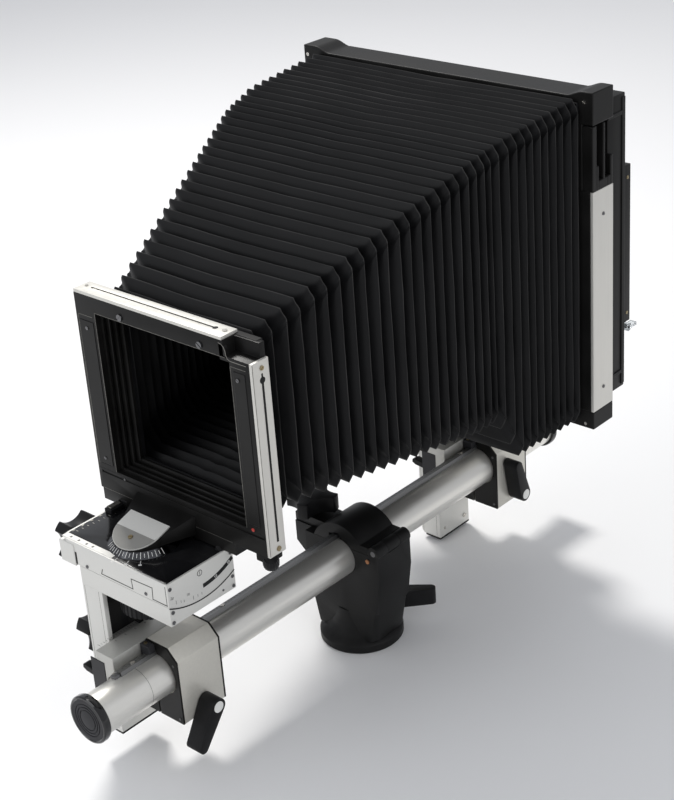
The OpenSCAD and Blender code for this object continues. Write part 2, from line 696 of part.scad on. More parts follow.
fold_count = 2 * (front_pleats + rear_pleats);
function fold_y(i) = i <= 2 * front_pleats
    ? bellows_front + (knee_y - bellows_front) * i / (2 * front_pleats)
    : knee_y + (bellows_rear - knee_y) * (i - 2 * front_pleats) / (2 * rear_pleats);
function fold_ring(i, wall) = let (y = fold_y(i), inset = (i % 2 == 0 ? pleat_depth : 0) + wall,
                                   w = lookup(y, half_widths) - inset,
                                   low = lookup(y, undersides) + inset, high = lookup(y, tops) - inset)
    [[-w, y, low], [w, y, low], [w, y, high], [-w, y, high]];
function ring_faces(base, rings, flip) = [for (i = [0:rings - 1], k = [0:3])
    let (a = base + 4 * i + k, b = base + 4 * i + (k + 1) % 4, c = b + 4, d = a + 4)
    flip ? [a, b, c, d] : [d, c, b, a]];

module bellows() color([0.1, 0.1, 0.11]) {
    rings = fold_count + 1;
    shift = 4 * rings;
    last = 4 * fold_count;
    points = concat([for (i = [0:fold_count]) each fold_ring(i, 0)],
                    [for (i = [0:fold_count]) each fold_ring(i, cloth_t)]);
    ends = [for (k = [0:3]) let (n = (k + 1) % 4) each [
        [n, k, shift + k, shift + n],
        [last + k, last + n, shift + last + n, shift + last + k]]];
    polyhedron(points, concat(ring_faces(0, fold_count, true), ring_faces(shift, fold_count, false), ends));
}

clamp_body();
clamp_jaw();
jaw_pin();
tripod_bush();
clamp_bolt();
clamp_knob();
clamp_lever();
rail_tube();
rail_spine();
front_cap();
rear_cap();
bearer(front_bearer_y);  // front_bearer
bearer_plates(front_bearer_y);  // front_bearer_plates
bearer_lever(front_bearer_y, -124);  // front_lever
lever_stud(front_bearer_y);  // front_stud
carriage(front_bearer_y);  // front_carriage
column(front_bearer_y, front_foot_z, front_groove_z);  // front_column
column_foot(front_bearer_y, front_foot_z);  // front_foot
column_rack(front_bearer_y, front_foot_z, front_groove_z);  // front_rack
rise_knob(front_bearer_y);  // front_rise_knob
rise_shaft(front_bearer_y);  // front_rise_shaft
bracket(front_bearer_y, front_foot_z);  // front_bracket
shift_wheel(front_bearer_y, front_foot_z);  // front_shift_wheel
shift_shoe(front_bearer_y, front_foot_z);  // front_shift_shoe
tilt_body(front_bearer_y, front_foot_z);  // front_tilt_body
tilt_cover(front_bearer_y, front_foot_z);  // front_cover
tilt_knob(front_bearer_y, front_foot_z);  // front_tilt_knob
tilt_shaft(front_bearer_y, front_foot_z);  // front_tilt_shaft
swing_dial(front_bearer_y, front_foot_z);  // front_dial
frame_holder(front_bearer_y, front_foot_z, front_reach, 1);  // front_holder
index_plate(front_bearer_y, front_foot_z, front_reach);  // front_index_plate
front_frame();
top_lock_strip();
side_lock_strip();
bearer(rear_bearer_y);  // rear_bearer
bearer_plates(rear_bearer_y);  // rear_bearer_plates
bearer_lever(rear_bearer_y, 105);  // rear_lever
lever_stud(rear_bearer_y);  // rear_stud
carriage(rear_bearer_y);  // rear_carriage
column(rear_bearer_y, rear_foot_z, rear_groove_z);  // rear_column
column_foot(rear_bearer_y, rear_foot_z);  // rear_foot
column_rack(rear_bearer_y, rear_foot_z, rear_groove_z);  // rear_rack
rise_knob(rear_bearer_y);  // rear_rise_knob
rise_shaft(rear_bearer_y);  // rear_rise_shaft
bracket(rear_bearer_y, rear_foot_z);  // rear_bracket
shift_wheel(rear_bearer_y, rear_foot_z);  // rear_shift_wheel
shift_shoe(rear_bearer_y, rear_foot_z);  // rear_shift_shoe
tilt_body(rear_bearer_y, rear_foot_z);  // rear_tilt_body
tilt_cover(rear_bearer_y, rear_foot_z);  // rear_cover
tilt_knob(rear_bearer_y, rear_foot_z);  // rear_tilt_knob
swing_dial(rear_bearer_y, rear_foot_z);  // rear_dial
frame_holder(rear_bearer_y, rear_foot_z, rear_reach, -1);  // rear_holder
rear_frame();
rear_side_strips();
film_back();
spring_housings();
glass_frame();
ground_glass();
release_lever();
bellows();
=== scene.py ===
"""Looks of the view camera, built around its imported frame. Lengths are in metres; MM turns millimetres into them."""
import json
import math

import bmesh
import bpy
from mathutils import Matrix, Vector

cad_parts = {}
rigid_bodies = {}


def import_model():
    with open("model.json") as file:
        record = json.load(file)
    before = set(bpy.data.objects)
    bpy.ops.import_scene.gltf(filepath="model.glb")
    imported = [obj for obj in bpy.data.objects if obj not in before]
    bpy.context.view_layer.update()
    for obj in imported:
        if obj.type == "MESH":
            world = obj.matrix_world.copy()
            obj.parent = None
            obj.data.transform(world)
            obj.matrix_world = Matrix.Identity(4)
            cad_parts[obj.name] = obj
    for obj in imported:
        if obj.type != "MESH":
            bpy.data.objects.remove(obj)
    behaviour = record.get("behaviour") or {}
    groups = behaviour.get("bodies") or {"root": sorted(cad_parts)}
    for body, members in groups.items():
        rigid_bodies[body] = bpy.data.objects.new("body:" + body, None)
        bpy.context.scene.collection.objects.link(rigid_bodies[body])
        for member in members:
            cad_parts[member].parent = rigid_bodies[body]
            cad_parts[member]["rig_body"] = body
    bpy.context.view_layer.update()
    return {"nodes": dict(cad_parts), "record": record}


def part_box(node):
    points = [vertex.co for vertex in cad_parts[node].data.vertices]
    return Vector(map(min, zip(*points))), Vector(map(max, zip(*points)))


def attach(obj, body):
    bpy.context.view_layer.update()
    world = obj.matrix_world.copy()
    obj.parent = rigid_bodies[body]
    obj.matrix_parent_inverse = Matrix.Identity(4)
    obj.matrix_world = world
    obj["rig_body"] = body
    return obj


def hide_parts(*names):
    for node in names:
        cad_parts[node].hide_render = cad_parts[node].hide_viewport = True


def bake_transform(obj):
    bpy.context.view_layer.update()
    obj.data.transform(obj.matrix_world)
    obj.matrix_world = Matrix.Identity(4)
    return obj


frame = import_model()
MM = 0.001
scene = bpy.context.scene
X, Y, Z = Vector((1, 0, 0)), Vector((0, 1, 0)), Vector((0, 0, 1))


# ---------- materials ----------

class Value:
    """A shader socket that takes part in sums and products."""

    def __init__(self, finish, socket):
        self.finish, self.socket = finish, socket

    def _math(self, operation, a, b=0.0):
        return self.finish.node("ShaderNodeMath", {"operation": operation}, {0: a, 1: b})

    def __add__(self, other):
        return self._math("ADD", self, other)

    def __radd__(self, other):
        return self._math("ADD", other, self)

    def __sub__(self, other):
        return self._math("SUBTRACT", self, other)

    def __rsub__(self, other):
        return self._math("SUBTRACT", other, self)

    def __mul__(self, other):
        return self._math("MULTIPLY", self, other)

    def __rmul__(self, other):
        return self._math("MULTIPLY", other, self)

    def __gt__(self, other):
        return self._math("GREATER_THAN", self, other)

    def __lt__(self, other):
        return self._math("LESS_THAN", self, other)

    def __abs__(self):
        return self._math("ABSOLUTE", self)

    def __mod__(self, other):
        return self._math("FLOORED_MODULO", self, other)


class Finish:
    """A material whose nodes are written as expressions."""

    def __init__(self, name, **constants):
        self.material = bpy.data.materials.new(name)
        self.material.use_nodes = True
        self.tree = self.material.node_tree
        self.shader = self.tree.nodes["Principled BSDF"]
        self.set(**constants)

    def set(self, **values):
        """Sets sockets of the main shader: a word such as base_color stands for Base Color."""
        for word, value in values.items():
            self._fill(self.shader.inputs[word.replace("_", " ").title().replace("Ior", "IOR")], value)

    def _fill(self, socket, value):
        if isinstance(value, Value):
            self.tree.links.new(value.socket, socket)
        elif socket.type == "RGBA" and len(value) == 3:
            socket.default_value = (*value, 1)
        else:
            socket.default_value = value

    def node(self, kind, settings=None, sockets=None, out=0):
        made = self.tree.nodes.new(kind)
        for key, value in (settings or {}).items():
            if key == "stops":
                while len(made.color_ramp.elements) < len(value):
                    made.color_ramp.elements.new(0.5)
                for element, (place, colour) in zip(made.color_ramp.elements, value):
                    element.position, element.color = place, (*colour, 1)
            else:
                setattr(made, key, value)
        for key, value in (sockets or {}).items():
            self._fill(made.inputs[key], value)
        return Value(self, made.outputs[out])

    def place(self, scale=(1, 1, 1)):
        where = self.node("ShaderNodeTexCoord", out="Object")
        return self.node("ShaderNodeMapping", {}, {"Vector": where, "Scale": scale})

    def noise(self, scale, detail=3.0, stretch=(1, 1, 1), roughness=0.55):
        sockets = {"Vector": self.place(stretch), "Scale": scale, "Detail": detail, "Roughness": roughness}
        return self.node("ShaderNodeTexNoise", {}, sockets, out="Fac")

    def range(self, value, low, high, to_low=0.0, to_high=1.0):
        sockets = {"Value": value, "From Min": low, "From Max": high, "To Min": to_low, "To Max": to_high}
        return self.node("ShaderNodeMapRange", {}, sockets)

    def mix(self, share, a, b):
        return self.node("ShaderNodeMix", {"data_type": "RGBA"}, {0: share, 6: a, 7: b}, out=2)

    def bump(self, height, strength, distance):
        sockets = {"Height": height, "Strength": strength, "Distance": distance}
        self.set(normal=self.node("ShaderNodeBump", {}, sockets))

    def attribute(self, name):
        return self.node("ShaderNodeAttribute", {"attribute_name": name}, out="Fac")


def metal_finish(name, tint, rough, metallic, grain, stretch, spread=0.05, depth=0.00002):
    """Brushed or blasted metal: a stretched grain moves its tint, its gloss and its surface."""
    f = Finish(name, metallic=metallic)
    streaks = f.noise(grain, 4.0, stretch)
    patches = f.noise(14.0, 2.0)
    dark = tuple(c * (1 - spread * 2) for c in tint)
    f.set(base_color=f.mix(f.range(streaks * 0.6 + patches * 0.4, 0.3, 0.7), dark, tint))
    f.set(roughness=f.range(streaks, 0.25, 0.75, rough - 0.07, rough + 0.07))
    f.bump(streaks, 0.35, depth)
    return f.material


def black_finish(name, tint, rough, grain, depth, worn=0.0, coat=0.0, shine=0.16):
    """Black enamel, casting or moulding with a fine grain, dull patches and a little wear."""
    f = Finish(name, specular_ior_level=shine, coat_weight=coat, coat_roughness=0.08)
    grains = f.noise(grain, 3.0)
    patches = f.noise(22.0, 4.0)
    pale = tuple(c * 1.9 + 0.004 for c in tint)
    f.set(base_color=f.mix(f.range(patches, 0.35, 0.75), tint, pale))
    f.set(roughness=f.range(patches + grains * 0.3, 0.4, 0.95, rough - 0.06, rough + 0.08 + worn))
    f.bump(grains, 0.4, depth)
    return f.material


def cloth_finish():
    """Coated bellows cloth: fine leather grain; the ridges of the folds are paler and shinier, partly rub wear and
    partly a painted highlight.
    """
    f = Finish("bellows_cloth", specular_ior_level=0.17, sheen_weight=0.01)
    crease = f.attribute("crease")
    grain = f.noise(900.0, 3.0)
    patches = f.noise(18.0, 4.0, (1, 2.5, 1))
    # pale ridge lines: partly rub wear on the folds, partly a painted highlight where the ridges catch the light
    ridge_rub_and_highlight = f.range(crease + patches * 0.16, 0.99, 1.12)
    cloth = f.mix(f.range(patches, 0.3, 0.75), (0.0042, 0.0042, 0.0046), (0.0085, 0.0085, 0.0092))
    f.set(base_color=f.mix(ridge_rub_and_highlight * 0.75, cloth, (0.075, 0.073, 0.07)))
    f.set(roughness=f.range(patches, 0.3, 0.8, 0.40, 0.54) - ridge_rub_and_highlight * 0.08)
    f.bump(grain * 0.5 + f.noise(160.0, 2.0) * 0.5, 0.3, 0.00012)
    return f.material


def plain_finish(name, tint, rough, metallic=0.0, speckle=0.08):
    f = Finish(name, metallic=metallic)
    marks = f.noise(260.0, 2.0)
    f.set(base_color=f.mix(marks, tuple(c * (1 - speckle) for c in tint), tint))
    f.set(roughness=f.range(marks, 0.3, 0.7, rough - 0.04, rough + 0.04))
    return f.material


def glass_finish():
    f = Finish("ground_glass", transmission_weight=0.6, ior=1.5, specular_ior_level=0.3)
    grain = f.noise(2500.0, 2.0)
    f.set(base_color=f.mix(grain, (0.62, 0.67, 0.65), (0.72, 0.77, 0.75)))
    f.set(roughness=f.range(grain, 0.2, 0.8, 0.55, 0.75))
    f.bump(grain, 0.2, 0.00003)
    return f.material


def clear_finish():
    f = Finish("clear_plastic", transmission_weight=0.75, ior=1.47)
    haze = f.noise(120.0, 2.0)
    f.set(base_color=f.mix(haze, (0.80, 0.84, 0.86), (0.92, 0.95, 0.96)))
    f.set(roughness=f.range(haze, 0.3, 0.7, 0.12, 0.25))
    return f.material


ALONG_RAIL, ALL_WAYS = (1, 0.02, 1), (1, 1, 1)
finishes = {
    "satin_aluminium": metal_finish("satin_aluminium", (0.66, 0.655, 0.625), 0.42, 0.35, 500.0, ALL_WAYS, 0.025),
    "rail_aluminium": metal_finish("rail_aluminium", (0.80, 0.785, 0.74), 0.34, 0.72, 260.0, ALONG_RAIL, 0.02,
                                   0.000004),
    "warm_grey_enamel": metal_finish("warm_grey_enamel", (0.66, 0.64, 0.58), 0.40, 0.35, 420.0, ALL_WAYS),
    "dark_grey_enamel": metal_finish("dark_grey_enamel", (0.52, 0.515, 0.485), 0.42, 0.5, 420.0, ALL_WAYS),
    "lock_silver": metal_finish("lock_silver", (0.66, 0.645, 0.60), 0.44, 0.30, 380.0, (1, 1, 0.05), 0.04),
    "dial_chrome": metal_finish("dial_chrome", (0.10, 0.102, 0.108), 0.16, 1.0, 300.0, ALL_WAYS, 0.04),
    "index_silver": metal_finish("index_silver", (0.72, 0.715, 0.68), 0.40, 0.35, 600.0, ALL_WAYS, 0.03),
    "blackened_steel": metal_finish("blackened_steel", (0.16, 0.16, 0.165), 0.35, 1.0, 500.0, ALL_WAYS),
    "rail_groove_steel": metal_finish("rail_groove_steel", (0.20, 0.20, 0.20), 0.38, 0.9, 500.0, ALONG_RAIL),
    "brass": metal_finish("brass", (0.34, 0.28, 0.17), 0.34, 1.0, 500.0, ALL_WAYS),
    "screw_chrome": metal_finish("screw_chrome", (0.62, 0.60, 0.56), 0.25, 1.0, 500.0, ALL_WAYS),
    "black_casting": black_finish("black_casting", (0.0055, 0.0055, 0.0055), 0.44, 700.0, 0.0001, 0.06),
    "black_anodised": black_finish("black_anodised", (0.0050, 0.0048, 0.0045), 0.34, 900.0, 0.00004),
    "black_moulding": black_finish("black_moulding", (0.0065, 0.0063, 0.006), 0.42, 800.0, 0.00007, 0.05),
    "baffle_black": black_finish("baffle_black", (0.0045, 0.0045, 0.005), 0.42, 900.0, 0.00004),
    "knob_black": black_finish("knob_black", (0.0060, 0.0060, 0.0064), 0.40, 700.0, 0.00008),
    "gloss_black_cover": black_finish("gloss_black_cover", (0.004, 0.004, 0.0045), 0.12, 600.0, 0.00001, 0.03,
                                      0.3, 0.4),
    "cap_rubber": black_finish("cap_rubber", (0.020, 0.020, 0.022), 0.52, 900.0, 0.0001),
    "line_black": black_finish("line_black", (0.008, 0.008, 0.008), 0.55, 900.0, 0.00002),
    "bellows_cloth": cloth_finish(),
    "ground_glass": glass_finish(),
    "clear_plastic": clear_finish(),
    "panel_grey": black_finish("panel_grey", (0.022, 0.022, 0.024), 0.36, 900.0, 0.00003),
    "worn_edge": metal_finish("worn_edge", (0.34, 0.33, 0.30), 0.40, 0.8, 240.0, ALL_WAYS, 0.35),
    "index_grey": metal_finish("index_grey", (0.30, 0.295, 0.275), 0.38, 0.4, 500.0, ALL_WAYS, 0.04),
    "copper": metal_finish("copper", (0.42, 0.20, 0.10), 0.38, 0.9, 500.0, ALL_WAYS),
    "engraved": plain_finish("engraved", (0.10, 0.10, 0.10), 0.5),
    "mark_white": plain_finish("mark_white", (0.82, 0.82, 0.79), 0.45),
    "mark_red": plain_finish("mark_red", (0.42, 0.03, 0.02), 0.4),
}


# ---------- shapes ----------

def signed_volume(verts, faces):
    total = 0.0
    for face in faces:
        for i in range(1, len(face) - 1):
            total += verts[face[0]].dot(verts[face[i]].cross(verts[face[i + 1]]))
    return total


def piece(name, verts, faces, finish, body=None, slot=None, smooth=35):
    """Makes a piece from points in metres, faces outwards, and lets it ride on a body."""
    verts = [Vector(v) for v in verts]
    if signed_volume(verts, faces) < 0:
        faces = [tuple(reversed(f)) for f in faces]
    mesh = bpy.data.meshes.new(name)
    mesh.from_pydata(verts, [], faces)
    return dressed(bpy.data.objects.new(name, mesh), finish, body, slot, smooth)


def dressed(obj, finish, body=None, slot=None, smooth=35):
    if obj.name not in scene.collection.objects:
        scene.collection.objects.link(obj)
    obj.data.materials.clear()
    obj.data.materials.append(finishes[finish])
    obj.data.shade_smooth()
    obj.data.set_sharp_from_angle(angle=math.radians(smooth))
    if body:
        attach(obj, body)
    slot or (finish if finish in slot_names else "black_moulding")
    return obj


slot_names = [m["slot"] for m in frame["record"]["materials"]]


def softened(obj, width, segments=2, sharper=32):
    """Rounds the edges of a piece that are sharper than an angle, in degrees."""
    bm = bmesh.new()
    bm.from_mesh(obj.data)
    bmesh.ops.remove_doubles(bm, verts=bm.verts, dist=1e-6)
    bmesh.ops.dissolve_limit(bm, angle_limit=math.radians(1.0), verts=bm.verts, edges=bm.edges)
    limit = math.radians(sharper)
    edges = [e for e in bm.edges if len(e.link_faces) == 2 and e.calc_face_angle(0) > limit]
    bmesh.ops.bevel(bm, geom=edges, offset=width, segments=segments, profile=0.6, affect="EDGES",
                    clamp_overlap=True, harden_normals=False)
    bmesh.ops.triangulate(bm, faces=[f for f in bm.faces if len(f.verts) > 4])
    bm.to_mesh(obj.data)
    bm.free()
    return obj


def rounded_copy(node, width, finish=None, segments=2, sharper=32):
    """A copy of a CAD node with its edges rounded, which stands for the node."""
    source = frame["nodes"][node]
    slot = next(s["material_slot"] for s in frame["record"]["subparts"] if s["node"] == node)
    obj = bpy.data.objects.new(node + "_shape", source.data.copy())
    scene.collection.objects.link(obj)
    softened(obj, width, segments, sharper)
    dressed(obj, finish or slot, source["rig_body"], slot, 30)
    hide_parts(node)
    return obj


def join(parts):
    """Several (points, faces) lists as one."""
    verts, faces = [], []
    for v, f in parts:
        base = len(verts)
        verts += v
        faces += [tuple(i + base for i in face) for face in f]
    return verts, faces


def block(lo, hi):
    x0, y0, z0 = lo
    x1, y1, z1 = hi
    verts = [(x0, y0, z0), (x1, y0, z0), (x1, y1, z0), (x0, y1, z0),
             (x0, y0, z1), (x1, y0, z1), (x1, y1, z1), (x0, y1, z1)]
    return verts, [(0, 3, 2, 1), (4, 5, 6, 7), (0, 1, 5, 4), (1, 2, 6, 5), (2, 3, 7, 6), (3, 0, 4, 7)]


def prism(outline, start, length, across, up, along):
    """An outline of (a, b) points, in the plane of two directions, extruded along a third."""
    n = len(outline)
    base = [start + across * a + up * b for a, b in outline]
    verts = base + [v + along * length for v in base]
    sides = [(i, (i + 1) % n, (i + 1) % n + n, i + n) for i in range(n)]
    faces = [tuple(reversed(range(n))), tuple(range(n, 2 * n))] + sides
    if across.cross(up).dot(along) < 0:
        faces = [tuple(reversed(f)) for f in faces]
    return verts, faces


def lathed(profile, centre, axis, side, steps=48):
    """A profile of (radius, height) points turned round an axis; both ends lie on the axis or close on themselves."""
    other = axis.cross(side)
    verts, rings = [], []
    for r, h in profile:
        if r < 1e-9:
            rings.append([len(verts)] * steps)
            verts.append(centre + axis * h)
        else:
            rings.append(list(range(len(verts), len(verts) + steps)))
            for i in range(steps):
                turn = 2 * math.pi * i / steps
                verts.append(centre + axis * h + (side * math.cos(turn) + other * math.sin(turn)) * r)
    faces = []
    for a, b in zip(rings, rings[1:]):
        for i in range(steps):
            j = (i + 1) % steps
            corners = []
            for v in (a[i], a[j], b[j], b[i]):
                if v not in corners:
                    corners.append(v)
            if len(corners) > 2:
                faces.append(tuple(corners))
    return verts, faces


# ---------- bellows ----------

FRONT_PLEATS, REAR_PLEATS = 22, 11
PLEAT_DEPTH, CLOTH = 8.6 * MM, 1.0 * MM
KNEE_SHARE = 0.665
front_low, front_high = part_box("front_frame")
rear_low, rear_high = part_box("rear_frame")
bellows_low, bellows_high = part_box("bellows")
knee = bellows_low.y + (bellows_high.y - bellows_low.y) * KNEE_SHARE


def between(y, stations):
    """Value at y on a line through (y, value) stations."""
    for (y0, a), (y1, b) in zip(stations, stations[1:]):
        if y <= y1:
            return a + (b - a) * max(0.0, (y - y0) / (y1 - y0))
    return stations[-1][1]


half_widths = [(bellows_low.y, front_high.x - 14.5 * MM), (knee, rear_high.x - 13 * MM),
               (bellows_high.y, rear_high.x - 10 * MM)]
undersides = [(bellows_low.y, front_low.z + 30.5 * MM), (knee, front_low.z + 34.5 * MM),
              (knee + 22 * MM, rear_low.z + 6 * MM), (bellows_high.y, rear_low.z + 5 * MM)]
tops = [(bellows_low.y, front_high.z - 2 * MM), (knee, rear_high.z - 14 * MM), (bellows_high.y, rear_high.z - 5 * MM)]


def ripple(a, b):
    """Smooth irregularity between -1 and 1, as cloth has."""
    return 0.5 * math.sin(3.1 * a + 1.7 * b) + 0.3 * math.sin(7.3 * a - 2.9 * b + 1.0) + 0.2 * math.sin(12.7 * b + a)


def pleat_ring(y, pleat, inset, wall):
    """One closed line of cloth round the bellows: inset is 0 on a ridge and 1 in a valley."""
    neck = 2.5 * MM * math.exp(-((y - knee) / (11 * MM)) ** 2)
    pinch = inset * PLEAT_DEPTH + wall + neck
    half = between(y, half_widths) - pinch
    low, high = between(y, undersides) + pinch, between(y, tops) - pinch
    corner_w, corner_h = 5.5 * MM + inset * 6 * MM, 11 * MM + inset * 7 * MM
    middle = (low + high) / 2
    quarter = [(half, middle, 0)]
    for k in range(1, 9):
        s = k / 8
        quarter.append((half + 0.9 * MM * ripple(pleat * 1.3, s * 2) * s * (1 - s) * 3,
                        middle + (high - corner_h - middle) * s, 0))
    for k in range(1, 6):
        s = k / 6
        hollow = 1.5 * MM * math.sin(math.pi * s) * (1 - 1.7 * inset)
        tuck = 0.9 * MM * math.sin(2 * math.pi * s) * (1 - inset)
        quarter.append((half - corner_w * s - tuck * 0.5, high - corner_h * (1 - s) - abs(hollow) * 0.45,
                        hollow + tuck))
    for k in range(0, 9):
        s = k / 8
        sag = 1.1 * MM * s * s
        quarter.append(((half - corner_w) * (1 - s), high - sag + 0.35 * MM * ripple(pleat * 2.1, s * 3), 0))
    right = [Vector((x, y + dy, z)) for x, z, dy in quarter]
    left = [Vector((-x, y + dy * 0.8, z)) for x, z, dy in quarter[-2::-1]]
    under = []
    for x, z, dy in quarter[1:-1]:
        fall = low + (high - z) * (1 if z > high - corner_h - 1e-9 else (middle - low) / (high - middle))
        under.append((x, fall, dy))
    lower_left = [Vector((-x, y + dy, z)) for x, z, dy in under]
    lower_right = [Vector((x, y + dy, z)) for x, z, dy in reversed(under)]
    return right + left + lower_left + [Vector((0, y, low))] + lower_right


def fold_stations():
    """(y, pleat, inset, crease) of every line across the cloth, from front to back."""
    stations = []
    for pleat in range(FRONT_PLEATS + REAR_PLEATS):
        if pleat < FRONT_PLEATS:
            mean = (knee - bellows_low.y) / FRONT_PLEATS
            pitch = mean * (1.27 - 0.54 * (pleat + 0.5) / FRONT_PLEATS)
            y = bellows_low.y + mean * (1.27 * pleat - 0.27 * pleat * pleat / FRONT_PLEATS)
        else:
            pitch = (bellows_high.y - knee) / REAR_PLEATS
            y = knee + pitch * (pleat - FRONT_PLEATS)
        lean = 0.12 * ripple(pleat * 0.9, 1.3)
        for share, inset, crease in ((0, 1, 0), (0.25, 0.46, 0.4), (0.44, 0.07, 0.85), (0.5, 0, 1), (0.56, 0.07, 0.85),
                                     (0.75, 0.46, 0.4)):
            moved = share + lean * (1 - abs(2 * share - 1)) * 0.5
            stations.append((y + pitch * moved, pleat, inset, crease))
    stations.append((bellows_high.y, FRONT_PLEATS + REAR_PLEATS, 1, 0))
    return stations


def bellows_section(name, first, last):
    """Pleats first to last as one closed shell of cloth."""
    per_pleat = 6
    stations = all_stations[first * per_pleat:last * per_pleat + 1]
    outer = [pleat_ring(y, pleat, inset, 0) for y, pleat, inset, crease in stations]
    inner = [pleat_ring(y, pleat, inset, CLOTH) for y, pleat, inset, crease in stations]
    n, rings = len(outer[0]), len(outer)
    verts = [v for ring in outer + inner for v in ring]
    faces = []
    for r in range(rings - 1):
        for i in range(n):
            j = (i + 1) % n
            a, b, c, d = r * n + i, r * n + j, (r + 1) * n + j, (r + 1) * n + i
            faces.append((a, d, c, b))
            faces.append(tuple(k + rings * n for k in (a, b, c, d)))
    for r, flip in ((0, False), (rings - 1, True)):
        for i in range(n):
            j = (i + 1) % n
            quad = (r * n + i, r * n + j, (rings + r) * n + j, (rings + r) * n + i)
            faces.append(tuple(reversed(quad)) if flip else quad)
    obj = piece(name, verts, faces, "bellows_cloth", None, "bellows_cloth", 28)
    creases = [crease for y, pleat, inset, crease in stations for _ in range(n)] * 2
    attribute = obj.data.attributes.new("crease", "FLOAT", "POINT")
    attribute.data.foreach_set("value", creases)
    return obj


all_stations = fold_stations()
CHAIN = ["front_swing", "front_tilt", "front_shift", "front_column", "front_carriage", "front_bearer", "rail",
         "rear_bearer", "rear_carriage", "rear_column", "rear_shift", "rear_tilt", "rear_swing"]
PLEATS_PER_JOINT = [3, 3, 1, 3, 2, 6, 4, 2, 3, 1, 3, 2]
pleat = 0
for fore, aft, count in zip(CHAIN, CHAIN[1:], PLEATS_PER_JOINT):
    section = bellows_section(f"bellows_{fore}_{aft}", pleat, pleat + count)
    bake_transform(section)
    if pleat == 0:
        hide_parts("bellows")
    pleat += count


# ---------- repeated details ----------

def scatter_tree():
    """Node group that puts a unit on each point, turned and sized by what the point says."""
    tree = bpy.data.node_groups.new("scatter", "GeometryNodeTree")
    for label, kind in (("Points", "Geometry"), ("Unit", "Object"), ("Finish", "Material")):
        tree.interface.new_socket(label, in_out="INPUT", socket_type="NodeSocket" + kind)
    tree.interface.new_socket("Result", in_out="OUTPUT", socket_type="NodeSocketGeometry")
    given, result = tree.nodes.new("NodeGroupInput"), tree.nodes.new("NodeGroupOutput")
    unit = tree.nodes.new("GeometryNodeObjectInfo")
    placed = tree.nodes.new("GeometryNodeInstanceOnPoints")
    real = tree.nodes.new("GeometryNodeRealizeInstances")
    painted = tree.nodes.new("GeometryNodeSetMaterial")
    for word, socket in (("turn", "Rotation"), ("size", "Scale")):
        named = tree.nodes.new("GeometryNodeInputNamedAttribute")
        named.data_type = "FLOAT_VECTOR"
        named.inputs["Name"].default_value = word
        tree.links.new(named.outputs["Attribute"], placed.inputs[socket])
    for a, out, b, into in ((given, "Points", placed, "Points"), (given, "Unit", unit, "Object"),
                            (unit, "Geometry", placed, "Instance"), (placed, "Instances", real, "Geometry"),
                            (real, "Geometry", painted, "Geometry"), (given, "Finish", painted, "Material"),
                            (painted, "Geometry", result, "Result")):
        tree.links.new(a.outputs[out], b.inputs[into])
    return tree


def unit_object(name, verts, faces):
    mesh = bpy.data.meshes.new(name)
    mesh.from_pydata(verts, [], faces)
    obj = bpy.data.objects.new(name, mesh)
    scene.collection.objects.link(obj)
    return obj


def slotted_head():
    """Screw head of radius 1, with its slot along X, standing on z = 0."""
    low = lathed([(0, 0), (1, 0), (1, 0.2), (0, 0.2)], Vector(), Z, X, 20)
    halves = []
    for side in (1, -1):
        turns = [math.asin(0.16) + (math.pi - 2 * math.asin(0.16)) * i / 10 for i in range(11)]
        outline = [(math.cos(t), math.sin(t) * side) for t in turns]
        halves.append(prism(outline, Z * 0.2, 0.22, X, Y, Z))
    return join([low] + halves)


def bar_unit():
    """Bar of unit size, centred across, standing on z = 0."""
    return block((-0.5, -0.5, 0), (0.5, 0.5, 1))


SCATTER = scatter_tree()
UNITS = {"screw": unit_object("screw_unit", *slotted_head()), "bar": unit_object("bar_unit", *bar_unit())}


def scatter(name, unit, places, finish, body):
    """Units at (position in mm, outward direction, direction of the unit's X, size in mm)."""
    mesh = bpy.data.meshes.new(name)
    mesh.from_pydata([Vector(at) * MM for at, out, across, size in places], [], [])
    turns, sizes = [], []
    for at, out, across, size in places:
        out, across = Vector(out).normalized(), Vector(across)
        across = (across - out * across.dot(out)).normalized()
        turn = Matrix((across, out.cross(across), out)).transposed().to_euler()
        turns += list(turn)
        sizes += [v * MM for v in size]
    for word, values in (("turn", turns), ("size", sizes)):
        mesh.attributes.new(word, "FLOAT_VECTOR", "POINT").data.foreach_set("vector", values)
    obj = bpy.data.objects.new(name, mesh)
    scene.collection.objects.link(obj)
    modifier = obj.modifiers.new("scatter", "NODES")
    modifier.node_group = SCATTER
    sockets = {item.name: item.identifier for item in SCATTER.interface.items_tree if item.in_out == "INPUT"}
    modifier[sockets["Unit"]] = UNITS[unit]
    modifier[sockets["Finish"]] = finishes[finish]
    bpy.context.view_layer.update()
    real = bpy.data.meshes.new_from_object(obj.evaluated_get(bpy.context.evaluated_depsgraph_get()))
    obj.modifiers.remove(modifier)
    obj.data = real
    return dressed(obj, finish, body)


def screws(name, places, finish, body):
    """Slotted screws at (position in mm, outward direction, radius in mm), each with its slot turned its own way."""
    full = []
    for i, (at, out, r) in enumerate(places):
        out = Vector(out)
        first = X if abs(out.x) < 0.7 else Y
        second = out.cross(first)
        turn = 0.6 + 1.9 * i
        full.append((at, out, first * math.cos(turn) + second * math.sin(turn), (r, r, r)))
    return scatter(name, "screw", full, finish, body)


def mm_block(x0, y0, z0, x1, y1, z1):
    return block(Vector((x0, y0, z0)) * MM, Vector((x1, y1, z1)) * MM)


